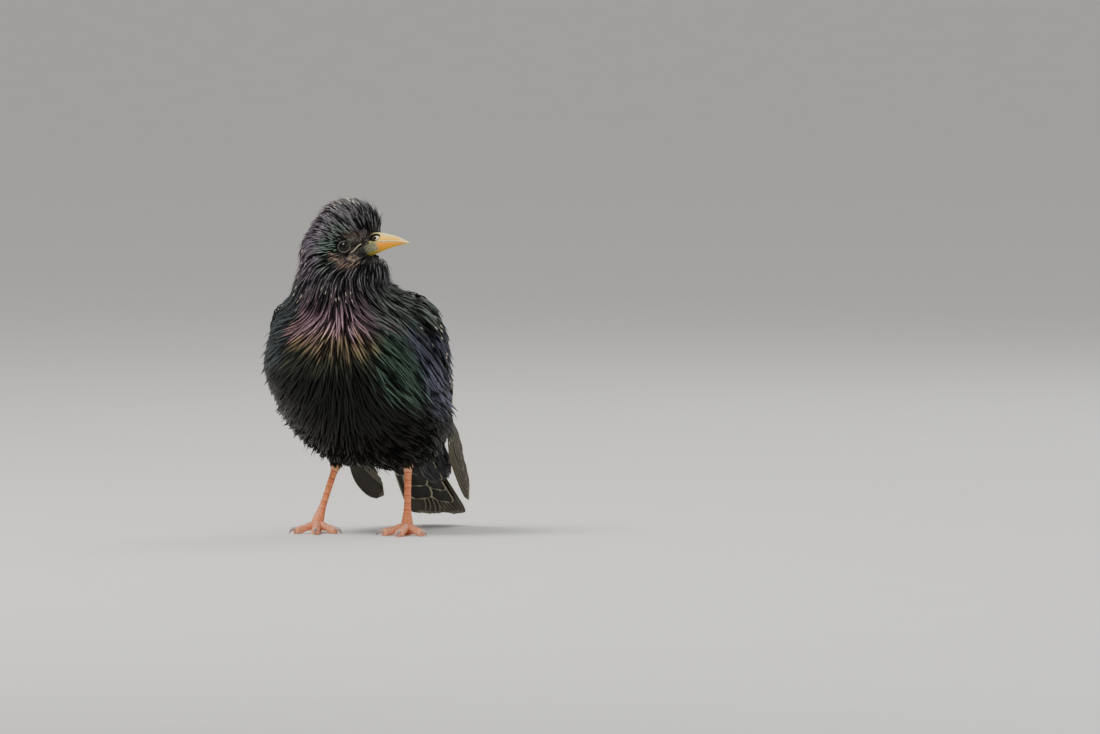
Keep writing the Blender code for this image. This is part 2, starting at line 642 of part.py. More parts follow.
def make_leg(side, parts, tools):
    """One leg: the feathered shin, the tarsus with its four toes, and the claws."""
    ankle, foot = np.array(ANKLE[side]), np.array(FOOT[side])
    top = np.array(THIGH_TOP[side])
    share = np.linspace(0, 1, 7)[:, None]
    shin = top + (ankle - top) * share
    radii = THIGH_RADII[0] + (THIGH_RADII[1] - THIGH_RADII[0]) * share[:, 0] ** 0.8
    thigh = tube("thigh_" + side, shin, radii, 14, parts, "plumage")
    near = body_length("near", TAIL_TORSO_S, TORSO_NECK_S, 14, 40, tools)
    grow = near.modifiers.new("grow", "DISPLACE")
    grow.strength, grow.mid_level = GAP * MM, 0.0
    applied(near)
    way = (foot - ankle) / np.linalg.norm(foot - ankle)
    start = ankle + way * 0.3
    t = np.linspace(0, 1, 9)
    line = start + (foot - start) * t[:, None]
    swell = 0.75 * np.exp(-(t / 0.10) ** 2) + 1.0 * np.exp(-((t - 1) / 0.14) ** 2)
    sleeve = tube("sleeve", np.vstack([line[0] - way * GAP, line[1:4]]), TARSUS_RADIUS + swell[:4] + GAP,
                  8, tools, "plumage")
    joined(thigh, [near, sleeve], "DIFFERENCE")
    leg = tube("foot_" + side, line, TARSUS_RADIUS + swell, 8, parts, "leg")
    pieces = [ball("pad", foot + (0, 0, -1.6), 3.0, tools, "leg", 2)]
    turn = math.radians(FOOT_TURN[side])
    mirror = 1.0 if side == "left" else -1.0
    for label, (spread, length, root, tip) in TOES.items():
        angle = turn + math.radians(spread) * mirror
        out = np.array([math.sin(angle), -math.cos(angle), 0.0])
        t = np.linspace(0, 1, 8)
        high = 3.2 * (1 - t) ** 1.6 + (tip - 0.15) * 1.0 + 0.25 * np.sin(t * np.pi)
        path = foot * (1, 1, 0) + out * (length * t)[:, None] + np.array([0, 0, 1.0]) * high[:, None]
        knuckles = 0.12 * np.cos(t * 2 * np.pi * 3)
        radii = root + (tip - root) * t + knuckles
        pieces.append(tube("toe", path, radii, 8, tools, "leg"))
        make_claw(side, label, path[-1], out, tip, parts)
    joined(leg, pieces)
    floor = bpy.data.meshes.new("floor")
    shape = bmesh.new()
    bmesh.ops.create_cube(shape, size=0.3)
    bmesh.ops.translate(shape, verts=shape.verts, vec=(0, 0, -0.15))
    shape.to_mesh(floor)
    shape.free()
    slab = bpy.data.objects.new("floor", floor)
    tools.objects.link(slab)
    joined(leg, [slab], "DIFFERENCE")


def make_claw(side, label, toe_end, out, toe_radius, parts):
    """A claw that leaves the toe's end, arches over and comes down to the floor."""
    length = CLAW_LENGTH[label]
    t = np.linspace(0, 1, 6)
    reach = length * 0.86 * np.sin(t * 1.45)
    drop = (toe_end[2] - 0.1) * (1 - np.cos(t * 1.45)) / (1 - math.cos(1.45))
    path = toe_end + out * (GAP + reach)[:, None] - np.array([0, 0, 1.0]) * drop[:, None]
    path[:, 2] += 0.35 * (1 - t) + 0.15
    radii = (toe_radius * 0.72) * (1 - t) ** 0.75 + 0.14
    tube(f"claw_{side}_{label}", path, radii, 6, parts, "claw", flatten=1.15)


# Wings and tail

# The wing's middle line: angle round the spine at distances along it
WING_MIDDLE = {
    "left": ([8.0, 30.0, 50.0, 70.0, 95.0, 120.0, 150.0], [97.0, 103.0, 112.0, 122.0, 124.0, 120.0, 112.0]),
    "right": ([8.0, 30.0, 50.0, 70.0, 95.0, 120.0, 150.0], [80.0, 80.0, 92.0, 110.0, 120.0, 119.0, 112.0]),
}
WING_TIP_S = {"left": 7.0, "right": 15.0}
# The plane of the free wing tip: its tip point, the way along it, its outer side and how far it droops
WING_BLADE = {
    "left": ((22.3, 78.0, 14.6), (0.01, 0.633, -0.771), (0.99, -0.03, -0.10), 2.0),
    "right": ((-17.8, 66.5, 17.8), (0.25, 0.70, -0.67), (-0.96, 0.20, -0.15), 8.0),
}
# Primaries, longest first: how far each tip stops short of the longest
PRIMARY_STEPS = (0.0, 1.5, 5.0, 12.0, 21.0, 32.0)
# For each tier: count, root s, tip s, root c, tip c and top height, each from first to last feather
WING_TIERS = {
    "secondary": (4, (100.0, 96.0), (48.0, 54.0), (-7.0, 9.0), (-3.5, 9.5), (3.0, 3.3)),
    "tertial": (3, (104.0, 104.0), (56.0, 68.0), (4.0, 17.0), (4.0, 17.5), (3.8, 4.0)),
    "greater_covert": (5, (112.0, 110.0), (92.0, 84.0), (-19.0, 9.0), (-17.0, 9.0), (2.3, 3.9)),
    "median_covert": (5, (128.0, 126.0), (108.0, 102.0), (-17.0, 10.0), (-18.0, 10.0), (2.8, 4.4)),
    "scapular": (4, (130.0, 122.0), (104.0, 88.0), (0.0, 22.0), (1.0, 22.0), (4.6, 4.6)),
}


def smooth_step(x, low, high):
    """Rises smoothly from 0 at low to 1 at high."""
    t = np.clip((x - low) / (high - low), 0, 1)
    return t * t * (3 - 2 * t)


class WingSheet:
    """A wing's sheet on the body that runs over into the plane of the free wing tip."""

    def __init__(self, side):
        self.sheet = Sheet(rest_depth(side), (4.0, 156.0), (40.0, 185.0), WING_MIDDLE[side],
                           1.0 if side == "left" else -1.0)
        tip, along, out, self.droop = WING_BLADE[side]
        self.tip, self.tip_s = np.array(tip), WING_TIP_S[side]
        self.along = np.array(along) / np.linalg.norm(along)
        out = np.array(out) - self.along * np.dot(out, self.along)
        self.out = out / np.linalg.norm(out)
        self.up = np.cross(self.out, self.along)
        self.up *= np.sign(self.up[2])

    def place(self, s, c, height):
        """Points over the wing's sheet at the given heights."""
        s, c, height = np.broadcast_arrays(s, c, height)
        body = self.sheet.place(np.maximum(s, 20.0), c, height)
        near = smooth_step(s, 35.0, 75.0)[..., None]
        across = c + self.droop * smooth_step(s, 25.0, 60.0)
        blade = (self.tip - (s - self.tip_s)[..., None] * self.along + across[..., None] * self.up
                 + height[..., None] * self.out)
        return blade * (1 - near) + body * near


def make_wing(side, parts, tools):
    """A folded wing in tiers of overlapping feathers over a thin base."""
    sheet = WingSheet(side)
    s = np.array([143.0, 139.0, 132.0, 123.0, 113.0, 103.0, 93.0, 83.0, 73.0, 62.0])
    low = np.array([-7.0, -12.0, -16.0, -18.5, -18.0, -16.5, -14.5, -12.0, -9.5, -6.0])
    high = np.array([6.0, 12.0, 18.0, 20.0, 20.0, 19.5, 18.5, 16.0, 12.0, 8.0])
    share = np.linspace(0, 1, 7)
    c = low[:, None] + (high - low)[:, None] * share
    thick = np.array([1.0, 1.8, 2.4, 2.2, 1.8, 1.4, 1.0, 0.9, 0.9, 0.9])[:, None]
    base = slab("wing_" + side, sheet.place(s[:, None], c, 1.0 + thick), sheet.place(s[:, None], c, 1.0),
                parts, "flight")
    tip_s = WING_TIP_S[side]
    grid = np.arange(0.0, 100.0, 15.0)
    vanes = []
    for k, short in enumerate(PRIMARY_STEPS):
        f = k / (len(PRIMARY_STEPS) - 1)
        root, tip = 92.0 - 10.0 * f, tip_s + short
        inside = [v for v in grid[::-1] if tip + 5.0 < v < root - 5.0]
        stations = np.array([root, *inside, tip + 2.5, tip])
        share = (stations - root) / (tip - root)
        c_line = (-12.0 + 7.0 * f) * (1 - share) + (-2.0 + 7.0 * f) * share
        vanes.append(vane(sheet, stations, c_line, 8.5, 1.2 + 0.32 * k, 0.6, tools))
    for tier, (count, s_root, s_tip, c_root, c_tip, top) in WING_TIERS.items():
        vanes.append(pleats(sheet, count, s_root, s_tip, c_root, c_tip, top, tools,
                            rows=5 if tier in ("secondary", "tertial") else 3,
                            sunk=1.7 if tier in ("median_covert", "scapular") else 1.2))
    joined(base, vanes, merge=0.6)


# Tail feathers lie in one plane through these two points, spread towards the tip
TAIL_ROOT = (0.0, 47.0, 47.0)
TAIL_TIP = (2.0, 88.8, 9.4)
TAIL_ARCH = 0.012
TAIL_HALF_WIDTH = (6.0, 14.0)
TAIL_PAIRS = 6
# Coverts under the tail: count, first and last c, root s and tip s
TAIL_COVERTS = ((5, -10.0, 22.0, 52.0, 36.0), (5, -9.0, 19.0, 43.0, 25.0))


def make_tail(parts, tools):
    """The tail's feathered root, six pairs of tail feathers and the coverts under them."""
    tail = body_length("tail", None, TAIL_TORSO_S - GAP / 2, 5, 28, parts)
    flat = FlatSheet(TAIL_ROOT, TAIL_TIP, TAIL_ARCH)
    half_root, half_tip = TAIL_HALF_WIDTH
    vanes = []
    for mirror in (-1.0, 1.0):
        lift = 0.16 * mirror
        vanes.append(pleats(flat, TAIL_PAIRS, (8.0 + lift, 8.0), (flat.length + 1.0, flat.length - 1.0),
                            (-half_root, 1.0 + lift), (-half_tip, 1.5 + lift), (lift - 0.4, lift + 0.5),
                            tools, step=0.7, sunk=-0.6, thick=0.7, rounding=0.6, mirror=mirror,
                            across=(0.0, 1.0)))
    under = Sheet(body_depth, (20.0, 70.0), (-120.0, 120.0), ([0.0, 100.0], [0.0, 0.0]))
    for count, first, last, s_root, s_tip in TAIL_COVERTS:
        vanes.append(pleats(under, count, (s_root, s_root), (s_tip, s_tip), (first, last),
                            (first, last), (0.9, 0.9), tools, sunk=-1.0, thick=0.7, rounding=4.0))
    joined(tail, vanes, merge=0.6)


def main():
    clear_scene()
    parts = bpy.data.collections.new("starling")
    tools = bpy.data.collections.new("tools")
    for home in (parts, tools):
        bpy.context.scene.collection.children.link(home)
    make_coat(parts, tools)
    make_head(parts, tools)
    for side in ("right", "left"):
        make_leg(side, parts, tools)
        make_wing(side, parts, tools)
    make_tail(parts, tools)


main()
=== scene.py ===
import math
import bpy
import numpy as np
from mathutils import Matrix, Vector


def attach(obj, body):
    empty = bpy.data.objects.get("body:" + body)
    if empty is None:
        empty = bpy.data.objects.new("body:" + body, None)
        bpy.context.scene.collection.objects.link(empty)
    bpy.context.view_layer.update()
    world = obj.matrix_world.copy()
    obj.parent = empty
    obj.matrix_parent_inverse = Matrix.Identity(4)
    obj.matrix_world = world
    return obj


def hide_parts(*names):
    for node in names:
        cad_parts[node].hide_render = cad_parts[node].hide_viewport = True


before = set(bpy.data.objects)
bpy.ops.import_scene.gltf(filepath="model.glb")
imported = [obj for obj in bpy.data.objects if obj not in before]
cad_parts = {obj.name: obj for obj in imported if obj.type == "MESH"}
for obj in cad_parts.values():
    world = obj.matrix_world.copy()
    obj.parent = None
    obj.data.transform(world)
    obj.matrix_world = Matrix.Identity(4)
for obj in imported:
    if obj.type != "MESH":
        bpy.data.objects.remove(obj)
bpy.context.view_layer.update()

# Lengths are in millimetres in the bird's own frame: it faces -Y, its left is +X, the floor is Z = 0
mm = 0.001
birdShift = np.array([1.7, -20.2, 0.0])
gap = 0.3

bodyShape = {
    "spine": [(0, 86, 12), (0, 42, 46), (0, -1, 80), (-1, -19, 122), (-2.5, -19.5, 153)],
    "forms": [  # centre, half sizes, tip forward about X in degrees
        ((-1.7, -8, 86), (45.5, 38.5, 40), 0), ((0, -3, 67.3), (37, 33, 33.5), 0),
        ((0, 14, 80), (29, 21, 38), 32), ((0, 31, 54), (20, 13, 25), 45),
        ((5.5, 54, 38.5), (15.5, 6.5, 26), 48), ((18.5, 11, 62), (20, 26, 26), 0),
        ((6, 29, 48.5), (23, 22, 13), 35), ((17.5, -3, 99.8), (17.2, 20, 20.3), 0),
        ((-22.5, -4, 105), (18.5, 20, 20), 0), ((-4, -19.5, 122.5), (23.5, 22, 21), 0)],
    "blend": 10.0,
    "headPlace": (3.4, -20, 145.3), "headYaw": 84, "headPitch": 9,
    "headForms": [
        ((-1, 0, 1.5), (14, 9.2, 11)), ((-2.5, 0, 7.7), (18.5, 12.8, 15.8)),
        ((-14, 0, -3), (15.5, 15, 16)), ((7.5, 0, 0.5), (7, 5.8, 6)), ((2, 0, -14), (15, 13, 10))],
    "headBlend": 4.5,
    "wingRest": {"left": ((8.5, 48, 42), (19.5, 16, 52), 52), "right": ((-8, 48, 41), (19, 16, 50), 50)},
    "tailEnd": 34.0, "crownStart": 12.0,
}


# Helper: turn about X, so that a positive angle tips a form's top forward
def tipped(degrees):
    return np.array(Matrix.Rotation(math.radians(degrees), 3, "X"))


headTurn = (Matrix.Rotation(math.radians(bodyShape["headYaw"]), 3, "Z")
            @ Matrix.Rotation(math.radians(-90), 3, "Z")
            @ Matrix.Rotation(math.radians(-bodyShape["headPitch"]), 3, "Y"))
headAxes = np.array([headTurn @ Vector(axis) for axis in ((1, 0, 0), (0, 1, 0), (0, 0, 1))])
headPlace = np.array(bodyShape["headPlace"])


def fromHead(points):  # head axes (forward, left, up) to the bird's
    return np.asarray(points, float) @ headAxes + headPlace


def toHead(points):
    return (points - headPlace) @ headAxes.T


# Depth outside an ellipsoid: |p/size| (|p/size| - 1) / |p/size^2|, close to the true distance
def formDepth(points, centre, sizes, tip=0.0):
    local = (points - np.array(centre)) @ tipped(tip)
    sizes = np.array(sizes, float)
    near = np.linalg.norm(local / sizes, axis=1)
    return near * (near - 1) / (np.linalg.norm(local / sizes**2, axis=1) + 1e-9)


# Smooth union of two depths: the smaller, less (reach - |a - b|)^2 / (4 reach)
def blended(first, second, reach):
    share = np.maximum(reach - np.abs(first - second), 0) / reach
    return np.minimum(first, second) - share * share * reach / 4


def bodyDepth(points):
    depth = None
    for centre, sizes, tip in bodyShape["forms"]:
        one = formDepth(points, centre, sizes, tip)
        depth = one if depth is None else blended(depth, one, bodyShape["blend"])
    inHead = toHead(points)
    for centre, sizes in bodyShape["headForms"]:
        depth = blended(depth, formDepth(inHead, centre, sizes), bodyShape["headBlend"])
    return depth


def restDepth(side):  # the body with the form under a wing's free end
    return lambda points: blended(bodyDepth(points), formDepth(points, *bodyShape["wingRest"][side]), 6.0)


def outward(points, depth=bodyDepth):
    step = 0.05
    slope = np.stack([depth(points + step * a) - depth(points - step * a) for a in np.eye(3)], 1)
    return slope / np.linalg.norm(slope, axis=1)[:, None]


def settle(points, depth=bodyDepth, rounds=2):  # moves points onto the form along its normals
    for _ in range(rounds):
        points = points - outward(points, depth) * depth(points)[:, None]
    return points


# Catmull-Rom curve through the spine's knots, with the distance along it
def spineCurve():
    knots = np.array(bodyShape["spine"], float)
    ends = np.vstack([2 * knots[0] - knots[1], knots, 2 * knots[-1] - knots[-2]])
    t = np.linspace(0, 1, 40, endpoint=False)[:, None]
    line = []
    for i in range(len(knots) - 1):
        a, b, c, d = ends[i:i + 4]
        line.append(0.5 * (2 * b + (c - a) * t + (2 * a - 5 * b + 4 * c - d) * t**2
                           + (3 * b - a - 3 * c + d) * t**3))
    line = np.vstack(line + [knots[-1:]])
    steps = np.linalg.norm(np.diff(line, axis=0), axis=1)
    return line, np.concatenate([[0.0], np.cumsum(steps)])


spineLine, spineS = spineCurve()
spineEnd = float(spineS[-1])


def along(s):
    return np.stack([np.interp(s, spineS, spineLine[:, k]) for k in range(3)], -1)


def spineFrame(s):  # centre, tangent, front and left at distances s along the spine
    s = np.asarray(s, float)
    tangent = along(np.clip(s + 3, 0, spineEnd)) - along(np.clip(s - 3, 0, spineEnd))
    tangent /= np.linalg.norm(tangent, axis=-1)[..., None]
    left = np.array([1.0, 0, 0]) - tangent * tangent[..., :1]
    left /= np.linalg.norm(left, axis=-1)[..., None]
    return along(s), tangent, -np.cross(tangent, left), left


# Where a ray from the spine at distance s and angle theta (0 front, 90 left) leaves the form
def onSurface(s, theta, height=0.0, depth=bodyDepth, dip=0.0):
    s, theta, height, dip = np.broadcast_arrays(*(np.asarray(v, float) for v in (s, theta, height, dip)))
    shape = s.shape
    at, tangent, front, left = spineFrame(s.ravel())
    turn, lean = np.radians(theta.ravel())[:, None], np.radians(dip.ravel())[:, None]
    ways = np.cos(lean) * (np.cos(turn) * front + np.sin(turn) * left) + np.sin(lean) * tangent
    reach = np.zeros(len(at))
    for _ in range(60):
        reach += -depth(at + ways * reach[:, None]) * 0.9
    points = at + ways * reach[:, None]
    normals = outward(points, depth)
    return (points + normals * height.ravel()[:, None]).reshape(*shape, 3), normals.reshape(*shape, 3)


def rise(x, low, high):  # smooth step from 0 at low to 1 at high
    t = np.clip((x - low) / (high - low), 0, 1)
    return t * t * (3 - 2 * t)


def band(x, low, high, soft):  # 1 between low and high, falling to 0 over soft
    return rise(x, low - soft, low) * (1 - rise(x, high, high + soft))


def nearLine(x, y, knots):  # distance in a plane to a bent line
    knots = np.array(knots, float)
    found = []
    for a, b in zip(knots[:-1], knots[1:]):
        share = np.clip(((x - a[0]) * (b - a)[0] + (y - a[1]) * (b - a)[1]) / ((b - a) @ (b - a)), 0, 1)
        found.append(np.hypot(x - a[0] - share * (b - a)[0], y - a[1] - share * (b - a)[1]))
    return np.min(found, axis=0)


# Place of surface points round the spine: distance s, angle theta and how far past the spine's end
def unrolled(points):
    flat = points.reshape(-1, 3)
    s = spineS[np.argmin(((flat[:, None, :] - spineLine[None]) ** 2).sum(2), axis=1)]
    at, tangent, front, left = spineFrame(s)
    away = flat - at
    theta = np.degrees(np.arctan2((away * left).sum(1), (away * front).sum(1)))
    over = (away * tangent).sum(1)
    shape = points.shape[:-1]
    return s.reshape(shape), theta.reshape(shape), over.reshape(shape)


def bakePlace(s, theta, over):  # the skin's unwrap: turn round the body across, length of the body up
    return np.stack([(theta / 360) % 1.0 * 0.96 + 0.02, np.clip((s + over + 30) / (spineEnd + 70), 0.01, 0.99)], -1)


# Meshes

def meshObject(name, points, polygons, material, uvs=None, values=None, sharp=None, smooth=True):
    # points in the bird's frame; polygons is a list of index arrays, one for each number of corners
    mesh = bpy.data.meshes.new(name)
    mesh.vertices.add(len(points))
    mesh.vertices.foreach_set("co", ((points + birdShift) * mm).astype(np.float32).ravel())
    corners = np.concatenate([p.ravel() for p in polygons])
    sizes = np.concatenate([np.full(len(p), p.shape[1]) for p in polygons])
    mesh.loops.add(len(corners))
    mesh.loops.foreach_set("vertex_index", corners.astype(np.int32))
    mesh.polygons.add(len(sizes))
    mesh.polygons.foreach_set("loop_start", np.concatenate([[0], np.cumsum(sizes)[:-1]]).astype(np.int32))
    mesh.update(calc_edges=True)
    mesh.polygons.foreach_set("use_smooth", np.full(len(sizes), smooth))
    for layer, value in (uvs or {}).items():  # one row for each point, or for each corner
        rows = value if len(value) == len(corners) else value[corners]
        mesh.uv_layers.new(name=layer).data.foreach_set("uv", rows.astype(np.float32).ravel())
    for layer, value in (values or {}).items():
        kind, field = ("FLOAT", "value") if value.ndim == 1 else ("FLOAT_COLOR", "color")
        if value.ndim == 2:
            value = np.concatenate([value, np.ones((len(value), 1))], 1)
        mesh.attributes.new(layer, kind, "POINT").data.foreach_set(field, value.astype(np.float32).ravel())
    if sharp is not None:  # point pairs whose edge keeps its crease
        ends = np.empty(len(mesh.edges) * 2, np.int32)
        mesh.edges.foreach_get("vertices", ends)
        ends = np.sort(ends.reshape(-1, 2), axis=1)
        wanted = np.sort(sharp, axis=1)
        count = len(points)
        hard = np.isin(ends[:, 0] * count + ends[:, 1], wanted[:, 0] * count + wanted[:, 1])
        mesh.attributes.new("sharp_edge", "BOOLEAN", "EDGE").data.foreach_set("value", hard)
    mesh.materials.append(material)
    made = bpy.data.objects.new(name, mesh)
    bpy.context.scene.collection.objects.link(made)
    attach(made, "root")
    return made


def gridFaces(rows, columns, closed=False):  # quads of a grid of points, its columns joined if closed
    i, j = np.meshgrid(np.arange(rows - 1), np.arange(columns if closed else columns - 1), indexing="ij")
    k = (j + 1) % columns
    return np.stack([i * columns + j, i * columns + k, (i + 1) * columns + k, (i + 1) * columns + j],
                    -1).reshape(-1, 4)


# A closed tube or turned form: rings of points, with a fan of triangles at each end
def ringObject(name, rings, material, low=None, high=None, values=None, uvs=None, flip=False):
    rows, columns = rings.shape[:2]
    points = np.vstack([rings.reshape(-1, 3), rings[0].mean(0) if low is None else low,
                        rings[-1].mean(0) if high is None else high])
    j = np.arange(columns)
    k = (j + 1) % columns
    last = (rows - 1) * columns
    quads = gridFaces(rows, columns, True)
    fans = np.vstack([np.stack([k, j, np.full(columns, rows * columns)], 1),
                      np.stack([last + j, last + k, np.full(columns, rows * columns + 1)], 1)])
    if flip:
        quads, fans = quads[:, ::-1], fans[:, ::-1]
    if values:
        values = {n: np.concatenate([v.reshape(rows * columns, -1), v[:1].reshape(columns, -1)[:1],
                                     v[-1:].reshape(columns, -1)[:1]]).squeeze() for n, v in values.items()}
    if uvs is None:  # turn across, length up
        u, v = np.meshgrid(np.arange(columns) / columns, np.linspace(0, 1, rows))
        uvs = {"along": np.vstack([np.stack([u, v], -1).reshape(-1, 2), [[0.5, 0.0], [0.5, 1.0]]])}
    return meshObject(name, points, [quads, fans], material, uvs, values)


# Materials: a wire wraps a socket, and sums and products of wires add Math nodes
class Wire:
    def __init__(self, paint, socket):
        self.paint, self.socket = paint, socket

    def maths(self, operation, first, second):
        return self.paint.node("ShaderNodeMath", {"operation": operation}, {0: first, 1: second})

    def __add__(self, other):
        return self.maths("ADD", self, other)

    def __sub__(self, other):
        return self.maths("SUBTRACT", self, other)

    def __rsub__(self, other):
        return self.maths("SUBTRACT", other, self)

    def __mul__(self, other):
        return self.maths("MULTIPLY", self, other)

    def __truediv__(self, other):
        return self.maths("DIVIDE", self, other)

    def __pow__(self, other):
        return self.maths("POWER", self, other)

    __radd__, __rmul__ = __add__, __mul__


class Paint:
    def __init__(self, name):
        self.material = bpy.data.materials.new(name)
        self.material.use_nodes = True
        self.tree = self.material.node_tree
        self.shader = self.tree.nodes["Principled BSDF"]

    def node(self, kind, settings=None, sockets=None, out=0):
        made = self.tree.nodes.new(kind)
        for name, value in (settings or {}).items():
            if name == "stops":
                ramp = made.color_ramp
                while len(ramp.elements) < len(value):
                    ramp.elements.new(0.5)
                for element, (place, colour) in zip(ramp.elements, value):
                    element.position, element.color = place, (*colour, 1.0)
            else:
                setattr(made, name, value)
        for name, value in (sockets or {}).items():
            self.feed(made.inputs[name], value)
        return Wire(self, made.outputs[out])

    def feed(self, socket, value):
        if isinstance(value, Wire):
            self.tree.links.new(value.socket, socket)
        elif isinstance(value, tuple) and len(value) == 3 and socket.type == "RGBA":
            socket.default_value = (*value, 1.0)
        else:
            socket.default_value = value

    def uv(self, layer):  # a UV map's two values
        place = self.node("ShaderNodeUVMap", {"uv_map": layer})
        return [self.node("ShaderNodeSeparateXYZ", None, {0: place}, k) for k in range(2)]

    def value(self, layer):
        return self.node("ShaderNodeAttribute", {"attribute_name": layer}, out=2)

    def colour(self, layer):
        return self.node("ShaderNodeAttribute", {"attribute_name": layer})

    def mix(self, share, first, second, kind="MIX"):
        return self.node("ShaderNodeMix", {"data_type": "RGBA", "blend_type": kind},
                         {0: share, 6: first, 7: second}, 2)

    def noise(self, scale, detail=3.0, rough=0.55, stretch=None):
        place = self.node("ShaderNodeTexCoord", out=3)
        if stretch:
            place = self.node("ShaderNodeMapping", None, {0: place, 3: stretch})
        return self.node("ShaderNodeTexNoise", None, {"Vector": place, "Scale": scale, "Detail": detail,
                                                      "Roughness": rough})

    def over(self, value, low, high):  # 0 below low, 1 above high, smooth between
        return self.node("ShaderNodeMapRange", {"interpolation_type": "SMOOTHSTEP"},
                         {0: value, 1: low, 2: high})

    def bump(self, height, strength, distance):
        return self.node("ShaderNodeBump", None, {"Strength": strength, "Distance": distance,
                                                  "Height": height})

    def finish(self, **sockets):
        for name, value in sockets.items():
            self.feed(self.shader.inputs[name.replace("_", " ")], value)
        return self.material


featherFinish = {
    "barbDepth": 0.35, "edgeShade": 0.75, "streak": 0.35,
    "spotStart": 0.86, "spotColour": (0.80, 0.73, 0.58), "fringeColour": (0.42, 0.38, 0.27),
}


# Feather: its own colour and sheen from the mesh, darker to its edges as painted shade that leaves a painted highlight
# down its middle, streaked along its barbs, a pale spot at the tip where "spot" is set and a pale fringe where
# "fringe" is set
def featherMaterial(name, rough, barbs, fringe=False, spots=True, barbDepth=None, specular=0.5):
    paint = Paint(name)
    across, up = paint.uv("vane")
    side = paint.node("ShaderNodeMath", {"operation": "ABSOLUTE"}, {0: (across - 0.5) * 2.0})
    barb = paint.node("ShaderNodeMath", {"operation": "SINE"}, {0: (up * barbs - side * (barbs * 0.22)) * 6.283})
    fine = paint.noise(900.0, 2.0)
    streak = barb * 0.5 + 0.5
    # painted shade: each plume darkens towards both edges, so its middle reads as a painted highlight; streaks and
    # grain are its own
    shade = 1.0 - side * side * featherFinish["edgeShade"]
    shade = shade * (1.0 - featherFinish["streak"] * streak * 0.6) * (0.65 + fine * 0.7)
    colour = paint.mix(1.0, paint.colour("plume"), paint.node("ShaderNodeCombineXYZ", None,
                                                             {0: shade, 1: shade, 2: shade}), "MULTIPLY")
    sheen = paint.value("sheen")
    pale = None
    if spots:
        pale = paint.over(up, featherFinish["spotStart"] - 0.06, featherFinish["spotStart"] + 0.03) * paint.value("spot")
        colour = paint.mix(pale, colour, featherFinish["spotColour"])
    if fringe:
        rim = paint.over(side + (fine - 0.5) * 0.12, 0.80, 0.92)
        end = paint.over(up + (fine - 0.5) * 0.02, 0.955, 0.985)
        edge = paint.node("ShaderNodeMath", {"operation": "MAXIMUM"}, {0: rim, 1: end}) * paint.value("spot")
        colour = paint.mix(edge, colour, featherFinish["fringeColour"])
        pale = edge
    metallic = sheen * (1.0 - pale) if pale is not None else sheen
    depth = featherFinish["barbDepth"] if barbDepth is None else barbDepth
    normal = paint.bump(barb * 0.5 + fine * 0.6, depth, 0.0001)
    paint.finish(Base_Color=colour, Metallic=metallic, Roughness=paint.over(fine, 0.2, 0.9) * 0.16 + (rough - 0.06),
                 Normal=normal)
    paint.shader.inputs["Specular IOR Level"].default_value = specular
    return paint.material


coatMaterial = featherMaterial("plumage", 0.38, 22.0, specular=0.24)
hairMaterial = featherMaterial("belly hair", 0.62, 6.0, spots=False, specular=0.04)
flightMaterial = featherMaterial("flight feathers", 0.46, 70.0, fringe=True, spots=False, barbDepth=0.5,
                                 specular=0.3)

skinPaint = Paint("skin under the feathers")
skinGrain = skinPaint.noise(350.0, 4.0)
skinBare = skinPaint.mix(skinPaint.over(skinPaint.noise(900.0, 3.0), 0.4, 0.6), (0.045, 0.032, 0.027),
                         (0.26, 0.17, 0.13))
skinDark = skinPaint.mix(skinGrain, (0.004, 0.004, 0.0045), (0.013, 0.012, 0.013))
skinMaterial = skinPaint.finish(Base_Color=skinPaint.mix(skinPaint.value("bare"), skinDark, skinBare),
                                Roughness=0.8, Normal=skinPaint.bump(skinGrain, 0.4, 0.0003))


# Skin of the whole body and head: rings round the spine, and domes at the tail's root and the crown
bareLine = [(-6, -4), (-2, -7), (1.5, -11.5), (6.5, -10)]  # brown skin behind and below the mouth's corner
skinParts = {"rings": 150, "around": 144, "under": 2.0}


